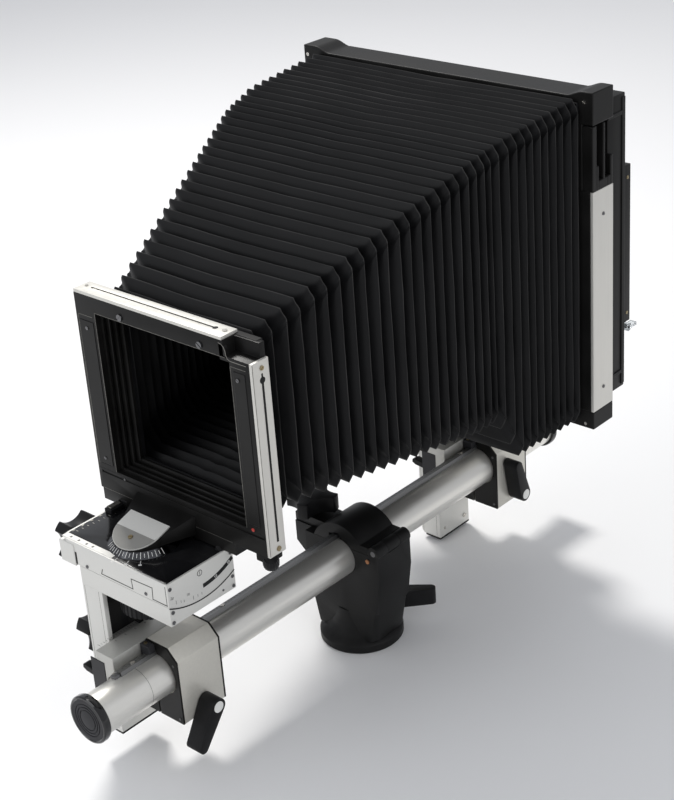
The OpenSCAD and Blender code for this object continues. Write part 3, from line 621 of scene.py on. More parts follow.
def line_strip(points, width, start, across, up, out, height):
    """Thin raised line through (a, b) points of a plane, in mm, as one flat ribbon."""
    left, right = [], []
    for i, point in enumerate(points):
        before, after = Vector(points[max(0, i - 1)]), Vector(points[min(len(points) - 1, i + 1)])
        step = (after - before).normalized()
        side = Vector((-step.y, step.x)) * width / 2
        left.append(Vector(point) + side)
        right.append(Vector(point) - side)
    shapes = []
    for i in range(len(points) - 1):
        outline = [left[i], left[i + 1], right[i + 1], right[i]]
        shapes.append(prism([(p.x * MM, p.y * MM) for p in outline], start, height * MM, across, up, out))
    return join(shapes)


def corner_line(points, width, start, across, up, out, height=0.12):
    """Line with square corners: every stretch is a bar of its own that ends in the next one."""
    shapes = []
    for a, b in zip(points, points[1:]):
        a, b = Vector(a), Vector(b)
        step = (b - a).normalized()
        side = Vector((-step.y, step.x)) * width / 2
        a, b = a - step * width / 2, b + step * width / 2
        outline = [a + side, b + side, b - side, a - side]
        shapes.append(prism([(p.x * MM, p.y * MM) for p in outline], start, height * MM, across, up, out))
    return join(shapes)


def lettering(name, words, finish, body):
    """Scale numbers at (text, middle in mm, across, up, height in mm), a hair proud of the surface."""
    shapes = []
    for text, middle, across, up, height in words:
        curve = bpy.data.curves.new(name, "FONT")
        curve.body, curve.size, curve.extrude, curve.resolution_u = text, 1.0, 0.01, 2
        curve.align_x, curve.align_y = "CENTER", "CENTER"
        obj = bpy.data.objects.new(name, curve)
        mesh = bpy.data.meshes.new_from_object(obj)
        bpy.data.objects.remove(obj)
        across, up = Vector(across).normalized(), Vector(up).normalized()
        out, size = across.cross(up), height * 1.4 * MM
        verts = [Vector(middle) * MM + across * v.co.x * size + up * v.co.y * size + out * (v.co.z * 0.006 + 0.00003)
                 for v in mesh.vertices]
        shapes.append((verts, [tuple(p.vertices) for p in mesh.polygons]))
    return piece(name, *join(shapes), finish, body)


# ---------- heads ----------

def arc_z(y, radius=70.5, rise=78.5):
    """Height of the tilt guide's arc over a head's bracket, in mm."""
    return rise - math.sqrt(radius * radius - y * y)


def head_details(which):
    """Scales, parting lines, ledge and screws of one tilt head; places are measured from its own boxes."""
    low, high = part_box(which + "_tilt_body")
    cx, cy, rim = (low.x + high.x) / 2 / MM, (low.y + high.y) / 2 / MM, high.z / MM
    wide, deep, base = (high.x - low.x) / 2 / MM, (high.y - low.y) / 2 / MM, high.z / MM - 35.8
    tilt, column = which + "_tilt", which + "_column"

    def at(x, y, z):
        return (cx + x, cy + y, base + z)

    front = Vector((cx, cy - deep, base)) * MM
    right = Vector((cx + wide, cy, base)) * MM
    left = Vector((cx - wide, cy, base)) * MM
    screws(which + "_head_screws", [(at(wide, -30.6, 31.1), X, 1.5), (at(-31.1, -deep, 18.4), -Y, 1.4),
                                    (at(35, -deep, 19.6), -Y, 1.4), (at(wide, 30.6, 31.2), X, 1.3)],
           "blackened_steel", tilt)
    screws(which + "_bracket_screws", [(at(wide, -30.3, 11.2), X, 1.5), (at(wide, -30.6, 2.6), X, 1.5),
                                       (at(wide, 30.4, 11.0), X, 1.4), (at(wide, 30.6, 2.6), X, 1.4),
                                       (at(wide, 20.0, 4.0), X, 0.9)],
           "blackened_steel", column)
    arc_points = [(y, arc_z(y) - 0.45) for y in (-33 + 66 * i / 24 for i in range(25))]
    piece(which + "_arc_line", *line_strip(arc_points, 1.0, right, Y, Z, X, 0.12), "line_black", column)
    parting = [(-13, 22.6), (-14.6, 18.2), (20.5, 18.2), (19.8, 26.7), (42.8, 27.6), (42.2, 17.6), (57.6, 17.6)]
    lines = [corner_line(parting, 0.6, front, X, Z, -Y),
             corner_line([(57.4, 17.6), (57.4, 33.6)], 0.4, front, X, Z, -Y)]
    piece(which + "_parting_line", *join(lines), "line_black", tilt)
    band_points = [(y, arc_z(y, 60.7)) for y in (1.0 + 31.2 * i / 12 for i in range(13))]
    ring = [(-0.9 + 2.3 * math.cos(t), 30.0 + 2.3 * math.sin(t)) for t in (2 * math.pi * i / 20 for i in range(21))]
    piece(which + "_scale_band", *join([line_strip(band_points, 3.4, right, Y, Z, X, 0.1),
                                        line_strip(ring, 0.45, right, Y, Z, X, 0.1),
                                        corner_line([(-0.9, 28.6), (-0.9, 31.4)], 0.35, right, Y, Z, X, 0.1)]),
          "line_black", tilt)
    lettering(which + "_band_numbers", [("10", at(wide + 0.1, 14.0, arc_z(14.0, 60.7)), (0, 1, 0.22),
                                         (0, -0.22, 1), 2.2),
                                        ("20", at(wide + 0.1, 28.0, arc_z(28.0, 60.7)), (0, 1, 0.5),
                                         (0, -0.5, 1), 2.2)],
              "mark_white", tilt)
    lettering(which + "_side_numbers", [("20", at(wide, -29.5, 22.8), (0, 1, -0.4), (0, 0.4, 1), 2.3),
                                        ("10", at(wide, -14.2, 18.2), (0, 1, -0.2), (0, 0.2, 1), 2.3)],
              "engraved", tilt)
    marks = [(at(wide, y, arc_z(y, 66.0) + 0.0), X, (0, 1, 0), (0.3, 2.2 if i % 3 else 3.2, 0.1))
             for i, y in enumerate((-26, -21.5, -18.5, -9.5, -5, -1))]
    scatter(which + "_side_marks", "bar", marks, "engraved", tilt)

    # left end block, a touch proud of the body, and the dark slot beside it
    end = piece(which + "_end_block", *mm_block(cx - wide - 1.6, cy - deep - 0.8, base + 14.2,
                                                cx - wide + 15.4, cy - deep + 9, base + 33.0),
                "satin_aluminium", tilt)
    softened(end, 1.1 * MM, 3)
    piece(which + "_end_slot", *mm_block(cx - wide + 15.4, cy - deep - 0.15, base + 16.6,
                                         cx - wide + 17.3, cy - deep + 0.4, base + 27.0), "line_black", tilt)

    # silver ledge with small marks along the cover's front edge
    ledge = piece(which + "_ledge", *mm_block(cx - wide + 1.0, cy - deep + 0.9, rim - 0.5,
                                              cx - 2.0, cy - deep + 6.6, rim + 0.35), "satin_aluminium", tilt)
    softened(ledge, 0.25 * MM)
    dots = [((cx - wide + x, cy - deep + 3.6, rim + 0.35), Z, X, (1.7, 2.0, 0.08)) for x in (9, 18, 27, 34)]
    scatter(which + "_ledge_marks", "bar", dots, "engraved", tilt)
    pale = [((cx - wide + 3.0, cy - deep + y, rim + 0.2), Z, X, (1.6, 2.4, 0.1)) for y in (11, 20, 29, 38, 47)]
    pale += [((cx - wide + 6.0 + 0.5 * i, cy - deep + 12 + 5 * i, rim + 0.2), Z, X, (2.4, 0.5, 0.1)) for i in range(8)]
    scatter(which + "_cover_marks", "bar", pale, "worn_edge", tilt)

    # ticks on the dial, and the three long ones on the cover before it
    dial_low, dial_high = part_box(which + "_dial")
    outer, top = (dial_high.x - dial_low.x) / 2 / MM, dial_high.z / MM
    ticks = []
    for i in range(19):
        turn = math.radians(-100 + 90 * (i - 4) / 14)
        way = Vector((math.cos(turn), math.sin(turn), 0))
        slope = Vector((way.x * 5, way.y * 5, -4.2)).normalized()
        out = slope.cross(Vector((-way.y, way.x, 0)))
        out = out if out.z > 0 else -out
        middle = Vector((cx, cy, top - 2.1)) + way * (outer - 2.5)
        ticks.append((middle, out, slope, (5.2 if i % 2 == 0 else 3.2, 0.42, 0.08)))
    scatter(which + "_dial_ticks", "bar", ticks, "mark_white", which + "_swing")
    long_ticks, tabs = [], []
    for angle in (-86, -66, -48):
        turn = math.radians(angle)
        way = Vector((math.cos(turn), math.sin(turn), 0))
        long_ticks.append((Vector((cx, cy, rim + 0.2)) + way * (outer + 3.4), Z, way, (5.0, 0.4, 0.1)))
        tabs.append((Vector((cx, cy, rim + 0.2)) + way * (outer + 6.6), Z, way, (1.5, 2.6, 0.1)))
    scatter(which + "_cover_ticks", "bar", long_ticks + tabs, "mark_white", tilt)


for which in ("front", "rear"):
    head_details(which)

# black stop with its silver piece at the head's back left corner
head_low, head_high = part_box("front_tilt_body")
hx, hy, hz = head_low.x / MM, head_high.y / MM, head_high.z / MM
stop = piece("front_head_stop", *join([mm_block(hx + 1, hy - 22, hz - 0.2, hx + 9, hy - 1, hz + 3.4),
                                       mm_block(hx + 6, hy - 9, hz + 3.2, hx + 13, hy - 1, hz + 6.6)]),
             "knob_black", "front_tilt")
softened(stop, 0.6 * MM)
softened(piece("front_stop_silver", *mm_block(hx + 2, hy - 20.5, hz + 3.4, hx + 7, hy - 9.5, hz + 4.6),
               "worn_edge", "front_tilt"), 0.3 * MM)

# front part of the index plate, its screw
plate_low, plate_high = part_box("front_index_plate")
px = (plate_low.x + plate_high.x) / 2
plate_r = (plate_high.x - plate_low.x) / 2
tilt_angle = math.atan2(16.0, 48.3)
rise_way = Vector((0, math.cos(tilt_angle), math.sin(tilt_angle)))
plate_out = rise_way.cross(X) * -1
plate_start = Vector((px, plate_low.y, plate_low.z)) + plate_out * 1.0 * MM + rise_way * 0.3 * MM
half_disc = [(plate_r * 0.985 * math.cos(t), plate_r + plate_r * 0.985 * math.sin(t))
             for t in (math.pi + math.pi * i / 24 for i in range(25))]
half_disc = [p for p in half_disc if p[1] <= 17.4 * MM]
edge = plate_r * 0.985 * math.sqrt(1 - ((17.4 * MM - plate_r) / (plate_r * 0.985)) ** 2)
half_disc = [(-edge, 17.4 * MM)] + half_disc + [(edge, 17.4 * MM)]
piece("index_plate_front", *prism(half_disc, plate_start, 0.15 * MM, X, rise_way, plate_out), "index_grey",
      "front_swing")
screw_at = (plate_start + rise_way * 11.5 * MM + plate_out * 0.15 * MM) / MM
screws("index_plate_screw", [(screw_at, plate_out, 1.9)], "brass", "front_swing")


# ---------- front frame ----------

low, high = front_low / MM, front_high / MM
FACE, BACK = low.y, high.y
seat_w, seat_low, seat_high = 70.5, low.z + 29.5, low.z + 163.5
face_plane = Vector((0, FACE, 0)) * MM


def frame_ring(inner_w, z0, z1, y0, y1, outer_w=None, out_z0=None, out_z1=None):
    """Rectangular ring round the light path, from y0 to y1, in mm."""
    outer_w = outer_w or seat_w
    out_z0, out_z1 = out_z0 or seat_low, out_z1 or seat_high
    shapes = [mm_block(-outer_w, y0, out_z0, -inner_w, y1, out_z1), mm_block(inner_w, y0, out_z0, outer_w, y1, out_z1),
              mm_block(-inner_w, y0, out_z0, inner_w, y1, z0)]
    if z1 < out_z1:
        shapes.append(mm_block(-inner_w, y0, z1, inner_w, y1, out_z1))
    return join(shapes)


steps = [frame_ring(67.6, seat_low + 3.0, seat_high - 0.8, FACE + 4.2, FACE + 5.8),
         frame_ring(64.6, seat_low + 4.6, seat_high - 1.6, FACE + 7.4, FACE + 9.2),
         frame_ring(61.0, seat_low + 7.0, seat_high - 2.6, FACE + 10.8, FACE + 12.6),
         frame_ring(56.5, seat_low + 10.5, seat_high - 3.4, FACE + 14.0, BACK - 0.2)]
softened(piece("seat_steps", *join(steps), "black_anodised", "front_swing"), 0.35 * MM, 1)
mouth = frame_ring(56.5, seat_low + 10.5, seat_high - 3.4, BACK, BACK + 3.0, 79.0, low.z + 22, high.z - 1.0)
softened(piece("bellows_front_plate", *mouth, "baffle_black", "front_swing"), 0.5 * MM)
softened(piece("bellows_plate_end", *mm_block(high.x - 30, BACK - 3.6, high.z - 2.2, high.x - 3.5, BACK + 2.4,
                                              high.z + 0.4),
               "black_moulding", "front_swing"), 0.6 * MM)

# side panels, set off by grooves and worn edges
panels = []
for x0, x1 in ((low.x + 3.4, -seat_w - 3.2), (seat_w + 3.2, high.x - 4.6)):
    panels.append(mm_block(x0, FACE - 0.45, low.z + 34, x1, FACE + 0.2, high.z - 21))
softened(piece("side_panels", *join(panels), "black_anodised", "front_swing"), 0.3 * MM)
worn = [corner_line([(low.x + 0.3, low.z + 12), (low.x + 0.3, high.z - 1)], 0.55, face_plane, X, Z, -Y, 0.1),
        corner_line([(low.x + 2.4, low.z + 32), (low.x + 2.4, high.z - 17), (-seat_w - 4, high.z - 17)], 0.3,
                    face_plane, X, Z, -Y, 0.1),
        corner_line([(-seat_w - 0.6, seat_low), (-seat_w - 0.6, seat_high + 0.3), (seat_w - 4, seat_high + 0.3)], 0.28,
                    face_plane, X, Z, -Y, 0.1),
        corner_line([(seat_w + 0.6, seat_low), (seat_w + 0.6, high.z - 18), (high.x - 4, high.z - 18)], 0.32,
                    face_plane, X, Z, -Y, 0.1),
        corner_line([(low.x + 3, low.z + 10.4), (high.x - 36, low.z + 10.4)], 0.25, face_plane, X, Z, -Y, 0.08)]
notch_curve = [(high.x - 28.6, high.z - 2.4), (high.x - 25.8, high.z - 2.9), (high.x - 23.6, high.z - 4.6),
               (high.x - 22.4, high.z - 7.2), (high.x - 22.0, high.z - 10.4), (high.x - 20.8, high.z - 12.9),
               (high.x - 18.4, high.z - 14.0), (high.x - 2.8, high.z - 14.0)]
worn.append(line_strip(notch_curve, 0.55, face_plane, X, Z, -Y, 0.12))
piece("frame_worn_lines", *join(worn), "worn_edge", "front_swing")
fill = [(high.x - 28.4, high.z - 15.0)] + notch_curve[:7] + [(high.x - 18.4, high.z - 15.0)]
piece("notch_fill", *prism([(a * MM, b * MM) for a, b in fill], face_plane, 3.2 * MM, X, Z, Y), "black_anodised",
      "front_swing")
grooves = [corner_line([(low.x + 1, seat_low - 1.4), (high.x - 3, seat_low - 1.4)], 0.7, face_plane, X, Z, -Y, 0.1),
           corner_line([(low.x + 5, low.z + 33), (-seat_w - 3, low.z + 33)], 0.5, face_plane, X, Z, -Y, 0.1),
           corner_line([(seat_w + 3, low.z + 33), (high.x - 5, low.z + 33)], 0.5, face_plane, X, Z, -Y, 0.1)]
piece("frame_grooves", *join(grooves), "line_black", "front_swing")

# black corner under the side strip, with its ribbed knob, and a smaller knob under the foot bar
corner = piece("frame_corner", *mm_block(high.x - 13, FACE + 0.4, low.z + 3.6, high.x - 0.4, BACK - 0.6, low.z + 10.4),
               "black_anodised", "front_swing")
softened(corner, 1.4 * MM, 3)
for name, x, y, z, r in (("corner_knob", high.x - 2.6, FACE + 5.2, low.z + 3.4, 6.2),
                         ("foot_knob", 38.0, FACE + 1.0, low.z - 1.6, 3.6)):
    profile = [(0, -r), (r * 0.62, -r * 0.96), (r * 0.94, -r * 0.6), (r, -r * 0.3), (r, r * 0.35),
               (r * 0.85, r * 0.8), (0, r)]
    ribbed = []
    for radius, height in profile:
        ribbed.append((radius * MM, height * MM))
    verts, faces = lathed(ribbed, Vector((x, y, z)) * MM, (Z + X * 0.35 - Y * 0.3).normalized(),
                          (X - Z * 0.35).normalized(), 40)
    centre = Vector((x, y, z)) * MM
    verts = [centre + (v - centre) * (1.0 if i % 2 else 0.955) for i, v in enumerate(verts)]
    piece(name, verts, faces, "knob_black", "front_swing", None, 25)

screws("frame_screws", [((-42, FACE, high.z - 9), -Y, 2.7), ((42, FACE, high.z - 9), -Y, 2.7)], "blackened_steel",
       "front_swing")
screws("panel_screws", [((low.x + 11, FACE - 0.4, high.z - 27), -Y, 1.5),
                        ((high.x - 12, FACE - 0.4, high.z - 27), -Y, 1.5),
                        ((low.x + 11, FACE - 0.4, low.z + 39), -Y, 1.3), ((-40, FACE, low.z + 16), -Y, 1.2),
                        ((-62, FACE, seat_low - 3.6), -Y, 1.0)],
       "blackened_steel", "front_swing")
dot = lathed([(0, 0), (1.5 * MM, 0), (1.3 * MM, 0.4 * MM), (0, 0.5 * MM)],
             Vector((high.x - 12.5, FACE, low.z + 29.5)) * MM,
             -Y, X, 20)
piece("red_dot", *dot, "mark_red", "front_swing")

# silver locking strips: dark slots, keyhole, screws and pins
strip_low, strip_high = (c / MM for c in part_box("top_lock_strip"))
slot_y = (strip_low.y + strip_high.y) / 2 + 1.0
top_plane = Vector((0, 0, strip_high.z)) * MM
slot_line = corner_line([(strip_low.x + 11, slot_y), (strip_high.x - 16, slot_y)], 1.1, top_plane, X, Y, Z, 0.08)
notch = lathed([(0, 0), (2.1 * MM, 0), (2.1 * MM, 0.1 * MM), (0, 0.1 * MM)],
               Vector((strip_high.x - 14.5, slot_y, strip_high.z)) * MM, Z, X, 20)
piece("top_slot", *join([slot_line, notch]), "line_black", "top_lock")
screws("top_strip_pins", [((strip_low.x + 5, slot_y, strip_high.z), Z, 1.4),
                          ((strip_high.x - 5, slot_y, strip_high.z), Z, 1.8)],
       "screw_chrome", "top_lock")
side_low, side_high = (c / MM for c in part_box("side_lock_strip"))
mid_y = (side_low.y + side_high.y) / 2 + 1.0
side_plane = Vector((side_high.x, 0, 0)) * MM
keyhole = corner_line([(mid_y, side_low.z + 11), (mid_y, side_high.z - 15)], 1.9, side_plane, Y, Z, X, 0.08)
eye = lathed([(0, 0), (2.6 * MM, 0), (2.6 * MM, 0.1 * MM), (0, 0.1 * MM)],
             Vector((side_high.x, mid_y, side_high.z - 15)) * MM, X, Y, 20)
tip = corner_line([(mid_y, side_high.z - 13), (mid_y, side_high.z - 10.6)], 1.5, side_plane, Y, Z, X, 0.08)
piece("side_slot", *join([keyhole, eye, tip]), "line_black", "side_lock")
screws("side_strip_screws", [((side_high.x, mid_y, side_high.z - 5.6), X, 1.8),
                             ((side_high.x, mid_y, side_low.z + 4.4), X, 2.0)],
       "brass", "side_lock")
edge_line = corner_line([(side_low.y + 0.5, side_low.z + 1), (side_low.y + 0.5, side_high.z - 1)], 0.5,
                        side_plane, Y, Z, X, 0.1)
piece("side_edge", *edge_line, "worn_edge", "side_lock")


# ---------- bearers, carriages and columns ----------

def standard_details(which):
    """Dark plates, dots, marks and screws of one standard's lower half."""
    low, high = (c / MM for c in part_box(which + "_bearer"))
    c_low, c_high = (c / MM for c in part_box(which + "_carriage"))
    lever_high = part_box(which + "_lever")[1] / MM
    stud_low, stud_high = (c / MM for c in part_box(which + "_stud"))
    hub_y, hub_z = (stud_low.y + stud_high.y) / 2, (stud_low.z + stud_high.z) / 2
    dot = lathed([(0, 0), (4.7 * MM, 0), (4.7 * MM, 0.3 * MM), (4.3 * MM, 0.5 * MM), (0, 0.5 * MM)],
                 Vector((lever_high.x, hub_y, hub_z)) * MM, X, Y, 36)
    piece(which + "_lever_dot", *dot, "mark_white", which + "_lever")

    # dark panel on the carriage's front, within a silver edge
    panel = piece(which + "_carriage_panel", *mm_block(c_low.x + 1.3, c_low.y - 0.5, c_low.z + 1.3,
                                                       low.x - 1.6, c_low.y + 0.4, c_high.z - 8),
                  "panel_grey", which + "_carriage")
    softened(panel, 0.3 * MM)
    tab = [(0, 0), (9.5, 1.6), (12.5, 0.6), (13, -2.6), (9, -4.6), (0, -5.4)]
    lever = piece(which + "_carriage_tab", *prism([(-a * MM, b * MM) for a, b in tab],
                                                  Vector((c_low.x + 0.5, c_low.y + 1, c_high.z - 22)) * MM,
                                                  7 * MM, X, Z, Y), "knob_black", which + "_carriage")
    softened(lever, 0.8 * MM)
    marks = [((c_low.x + 5.5, c_low.y + 6 + 2.5 * i, c_high.z), Z, X,
              (3.4 if i % 4 == 0 else 2.0, 0.3, 0.06)) for i in range(20)]
    scatter(which + "_carriage_marks", "bar", marks, "engraved", which + "_carriage")
    lettering(which + "_carriage_numbers", [(str(i), (c_low.x + 11, c_low.y + 8 + 10 * i, c_high.z), (0, -1, 0),
                                             (1, 0, 0), 2.4)
                                            for i in range(1, 5)], "engraved", which + "_carriage")

    # dark block with a brass screw on the bearer's front, over the spine
    step = piece(which + "_bearer_stop", *mm_block(-11.4, low.y - 7.6, high.z - 10.6, -1.6, low.y - 1.5, high.z - 0.6),
                 "panel_grey", which + "_bearer")
    softened(step, 0.6 * MM)
    screws(which + "_stop_screw", [((-8.2, low.y - 4.6, high.z - 0.6), Z, 1.5)], "brass", which + "_bearer")
    screws(which + "_plate_screws", [((high.x - 3.6, low.y - 1.6, high.z - 13), -Y, 1.1),
                                     ((high.x - 3.4, low.y - 1.6, low.z + 4), -Y, 1.1),
                                     ((low.x + 4.6, low.y - 1.6, low.z + 6), -Y,
                                      1.1)], "blackened_steel", which + "_bearer")
    k_low, k_high = (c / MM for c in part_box(which + "_column"))
    bands = [corner_line([(k_low.x + x, k_low.z + 2), (k_low.x + x, k_high.z - 1)], 0.35,
                         Vector((0, k_low.y, 0)) * MM, X, Z, -Y, 0.05) for x in (2.2, k_high.x - k_low.x - 4.2)]
    piece(which + "_column_lines", *join(bands), "worn_edge", which + "_column")
    # black sheet on the floor of the groove's upper part only, which darkens the groove there
    groove = mm_block(k_high.x - 6.4, k_low.y + 6.2, k_high.z - 60, k_high.x - 5.2, k_high.y - 4.4, k_high.z - 22)
    piece(which + "_groove_lining", *groove, "baffle_black", which + "_column")
    screws(which + "_foot_screw", [((k_high.x, k_high.y - 7, k_low.z + 8), X, 2.1),
                                   ((k_high.x, k_low.y + 7, k_low.z + 8), X, 1.4)],
           "screw_chrome", which + "_column")


for which in ("front", "rear"):
    standard_details(which)


# ---------- rail and clamp ----------

tube_low, tube_high = (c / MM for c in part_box("rail_tube"))
spine_low, spine_high = (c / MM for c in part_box("rail_spine"))
axis_z, tube_r = (tube_low.z + tube_high.z) / 2, (tube_high.x - tube_low.x) / 2
seam = lathed([((tube_r + 0.04) * MM, -0.16 * MM), ((tube_r + 0.07) * MM, -0.16 * MM),
               ((tube_r + 0.07) * MM, 0.16 * MM),
               ((tube_r + 0.04) * MM, 0.16 * MM), ((tube_r + 0.04) * MM, -0.16 * MM)],
              Vector((0, tube_low.y + 44, axis_z)) * MM, Y, X, 64)
piece("rail_seam", *seam, "worn_edge", "rail")
lean = math.radians(15)
spine_out = Vector((-math.sin(lean), 0, math.cos(lean)))
spine_across = Vector((math.cos(lean), 0, math.sin(lean)))


def on_spine(y, out=20.0, across=0.0):
    return Vector((0, y, axis_z)) + spine_out * out + spine_across * across


end = prism([(-2.6 * MM, 16.2 * MM), (2.6 * MM, 16.2 * MM), (2.6 * MM, 19.4 * MM), (-2.6 * MM, 19.4 * MM)],
            Vector((0, spine_low.y - 5.5, axis_z)) * MM, 5.4 * MM, spine_across, spine_out, Y)
softened(piece("spine_end", *end, "blackened_steel", "rail"), 0.5 * MM)
screws("spine_screws", [(on_spine(spine_low.y + 15, 19.7), spine_out, 2.0),
                        (on_spine(spine_low.y + 28, 19.7), spine_out, 1.2),
                        (on_spine(spine_low.y + 110, 19.7), spine_out, 2.2),
                        (on_spine(spine_high.y - 110, 19.7), spine_out, 2.2),
                        (on_spine(spine_high.y - 12, 19.7), spine_out, 2.0)], "screw_chrome", "rail")
rack_teeth = [(on_spine(spine_low.y + 6 + 3.2 * i, 20.0, -1.6), spine_out, spine_across,
               (2.6, 0.9, 0.15)) for i in range(160)]
scatter("spine_scale", "bar", rack_teeth, "engraved", "rail")
for which, inward in (("front", 1), ("rear", -1)):
    cap_low, cap_high = (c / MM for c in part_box(which + "_cap"))
    cap_r = (cap_high.x - cap_low.x) / 2
    face_y = cap_low.y if which == "front" else cap_high.y
    rim = [(cap_r - 2.4, 0.0), (cap_r - 1.7, -0.5), (cap_r - 0.6, -0.35), (cap_r + 0.25, 0.7), (cap_r + 0.3, 4.6),
           (cap_r - 0.3, 6.1), (cap_r - 2.4, 6.1), (cap_r - 2.4, 0.0)]
    ring = lathed([(r * MM, h * MM) for r, h in rim], Vector((0, face_y, axis_z)) * MM, Y * inward, X, 64)
    piece(which + "_cap_rim", *ring, "gloss_black_cover", "rail", "cap_rubber")

clamp_low, clamp_high = (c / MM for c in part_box("clamp_body"))
screws("clamp_screw", [((clamp_high.x - 12, clamp_low.y + 15.4, axis_z + 6), -Y, 2.0)], "copper", "clamp")


# ---------- rear frame ----------

r_low, r_high = rear_low / MM, rear_high / MM
strip_z = [c.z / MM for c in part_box("rear_side_strips")]
bar = 22.0
depth = (r_low.y, r_high.y)
top_edge = [(-r_high.x, r_high.z - 26), (-r_high.x, r_high.z), (-r_high.x + 13, r_high.z)]
top_edge += [(-r_high.x + 13 + 16 * t, r_high.z - 4.4 * (3 * t * t - 2 * t ** 3)) for t in (i / 8 for i in range(1, 9))]
top_edge += [(r_high.x - 9 - 16 * t,
              r_high.z - 4.4 * (3 * t * t - 2 * t ** 3)) for t in (i / 8 for i in range(8, 0, -1))]
top_edge += [(r_high.x - 9, r_high.z), (r_high.x, r_high.z), (r_high.x, r_high.z - 26), (r_high.x - 21, r_high.z - 26),
             (r_high.x - bar, r_high.z - bar), (-r_high.x + bar, r_high.z - bar), (-r_high.x + 21, r_high.z - 26)]
bars = [prism([(a * MM, b * MM) for a, b in top_edge], Vector((0, r_low.y, 0)) * MM, (r_high.y - r_low.y) * MM,
              X, Z, Y),
        mm_block(-r_high.x, r_low.y, r_low.z, r_high.x, r_high.y, r_low.z + 16),
        mm_block(-r_high.x + bar, r_low.y, r_low.z + 15.9, r_high.x - bar, r_high.y, r_low.z + bar)]
for side in (-1, 1):
    def across(a, b):
        return sorted((side * (r_high.x - a), side * (r_high.x - b)))
    x0, x1 = across(2.6, bar)
    bars.append(mm_block(x0, r_low.y, r_low.z + 15.9, x1, r_high.y, strip_z[1]))
    x0, x1 = across(10, bar)
    bars.append(mm_block(x0, r_low.y, strip_z[1] - 0.1, x1, r_high.y, r_high.z - 25.9))
    x0, x1 = across(0.2, 10.1)
    for y0, y1, z0, z1 in ((0, 5.6, 0, 53), (5.4, 8.6, 0, 20), (24.6, 28, 0, 24), (20.5, 24.8, 0, 8),
                           (14.6, 17.2, 7, 53),
                           (8.4, 20.6, 0, 7.6)):
        bars.append(mm_block(x0, r_low.y + y0, strip_z[1] + z0, x1, r_low.y + y1, strip_z[1] + z1))
rear_shape = piece("rear_frame_shape", *join(bars), "black_moulding", "rear_swing")
softened(rear_shape, 0.8 * MM)
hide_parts("rear_frame")
screws("rear_face_screws", [((-r_high.x + 4.5, r_low.y, r_high.z - 8), -Y, 1.6),
                            ((r_high.x - 8, r_low.y, r_high.z - 8), -Y, 1.6),
                            ((r_high.x - 8, r_low.y, r_low.z + 4), -Y,
                             1.4), ((-r_high.x + 5, r_low.y, r_low.z + 4), -Y, 1.4)],
       "screw_chrome", "rear_swing")
holes = [((side * r_high.x, r_low.y + 14, strip_z[0] + z), X * side, 1.5) for side in (-1, 1) for z in (19, 171)]
screws("strip_screws", holes, "blackened_steel", "rear_swing")
h_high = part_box("spring_housings")[1] / MM
screws("housing_screws", [((h_high.x, h_high.y - 8, z), X, 1.5) for z in (h_high.z - 9, h_high.z - 128)],
       "brass", "rear_swing")
b_low, b_high = (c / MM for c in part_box("film_back"))
ribs = [mm_block(b_high.x - 1.0, b_low.y + 0.2, z, b_high.x + 0.8, b_high.y - 4,
                 z + 3.4) for z in (b_high.z - 17, b_low.z + 13)]
ribs += [mm_block(b_high.x - 0.6, b_high.y - 5.2, b_low.z + 3, b_high.x + 0.9, b_high.y - 0.8, b_high.z - 3)]
softened(piece("film_back_ribs", *join(ribs), "black_moulding", "rear_swing"), 0.5 * MM)
plate = join([mm_block(-137, r_low.y - 2.4, r_low.z + 10, -126, r_low.y + 0.1, r_high.z - 9),
              mm_block(126, r_low.y - 2.4, r_low.z + 10, 137, r_low.y + 0.1, r_high.z - 9),
              mm_block(-126.5, r_low.y - 2.4, r_high.z - 20, 126.5, r_low.y + 0.1, r_high.z - 9),
              mm_block(-126.5, r_low.y - 2.4, r_low.z + 10, 126.5, r_low.y + 0.1, r_low.z + 20)])
softened(piece("bellows_rear_plate", *plate, "baffle_black", "rear_swing"), 0.5 * MM)


# ---------- CAD nodes that keep their shape ----------

for node, width in (("clamp_body", 0.9), ("clamp_jaw", 0.8), ("clamp_knob", 0.9), ("clamp_lever", 0.9),
                    ("front_bearer", 0.5), ("rear_bearer", 0.5), ("front_lever", 1.0), ("rear_lever", 1.0),
                    ("front_carriage", 0.5), ("rear_carriage", 0.5), ("front_column", 0.5), ("rear_column", 0.5),
                    ("front_rise_knob", 0.9), ("rear_rise_knob", 0.9), ("front_tilt_knob", 0.9),
                    ("rear_tilt_knob", 0.9), ("front_bracket", 0.4), ("rear_bracket", 0.4),
                    ("front_tilt_body", 0.5), ("rear_tilt_body", 0.5), ("front_cover", 0.5), ("rear_cover", 0.5),
                    ("front_frame", 0.6), ("front_holder", 0.5), ("rear_holder", 0.5), ("film_back",
                                                                                        1.2), ("spring_housings", 1.2),
                    ("glass_frame", 0.6), ("release_lever", 0.4), ("rear_side_strips", 0.35),
                    ("top_lock_strip", 0.35), ("side_lock_strip", 0.35), ("front_cap", 0.3), ("rear_cap", 0.3)):
    rounded_copy(node, width * MM)

for node, obj in frame["nodes"].items():
    if not obj.hide_render:
        slot = next(s["material_slot"] for s in frame["record"]["subparts"] if s["node"] == node)
        finish = {"rail_tube": "rail_aluminium"}.get(node, slot)
        obj.data.materials.clear()
        obj.data.materials.append(finishes[finish])


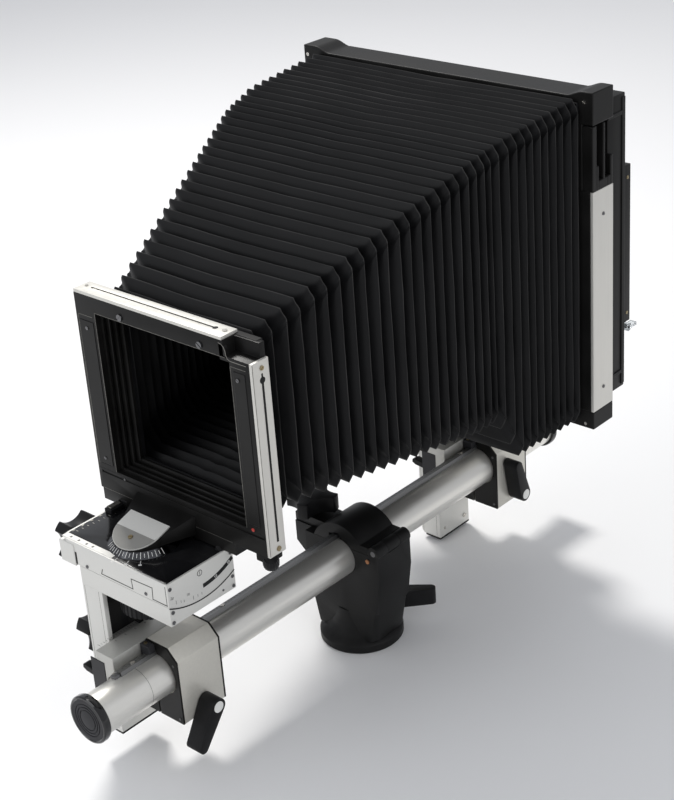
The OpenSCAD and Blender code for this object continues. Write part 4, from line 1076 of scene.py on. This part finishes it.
for unit in UNITS.values():
    bpy.data.objects.remove(unit)


# ---------- camera, light and floor ----------

def make_camera():
    camera = bpy.data.objects.new("camera", bpy.data.cameras.new("camera"))
    scene.collection.objects.link(camera)
    right, up, back = Vector((0.7501, 0.6583, -0.0621)), Vector((-0.2399, 0.3585, 0.9022)), Vector((0.6162,
                                                                                                    -0.6619, 0.4269))
    turn = Matrix((right, up, back)).transposed().to_4x4()
    camera.matrix_world = Matrix.Translation(Vector((0.8531, -0.8962, 0.8445))) @ turn
    camera.data.sensor_width = 36
    camera.data.lens = 75.91
    camera.data.shift_x, camera.data.shift_y = -0.0282, -0.0487
    scene.camera = camera


def area_light(name, place, target, size, power, tint=(1, 1, 1)):
    light = bpy.data.objects.new(name, bpy.data.lights.new(name, "AREA"))
    light.data.energy, light.data.size, light.data.color = power, size, tint
    light.location = place
    light.rotation_euler = (Vector(target) - Vector(place)).to_track_quat("-Z", "Y").to_euler()
    scene.collection.objects.link(light)


def make_floor():
    f = Finish("floor", roughness=0.6)
    cloudy = f.noise(1.2, 2.0)
    f.set(base_color=f.mix(cloudy, (0.86, 0.86, 0.86), (0.885, 0.885, 0.89)))
    verts, faces = block((-9, -9, -0.02), (9, 9, 0))
    mesh = bpy.data.meshes.new("floor")
    mesh.from_pydata(verts, [], faces)
    mesh.materials.append(f.material)
    floor = bpy.data.objects.new("floor", mesh)
    scene.collection.objects.link(floor)


make_camera()
make_floor()
middle = (0, 0, 0.2)
area_light("key", (-1.1, 0.55, 2.0), middle, 0.4, 34, (1.0, 0.98, 0.95))
area_light("front_fill", (-0.6, -2.0, 1.3), middle, 1.6, 13, (0.97, 0.985, 1.0))
area_light("right_fill", (2.4, -0.2, 1.2), middle, 1.4, 9)
world = bpy.data.worlds.new("studio")
world.use_nodes = True
world.node_tree.nodes["Background"].inputs["Color"].default_value = (0.93, 0.95, 1.0, 1)
world.node_tree.nodes["Background"].inputs["Strength"].default_value = 0.58
scene.world = world
scene.view_settings.view_transform = "Standard"
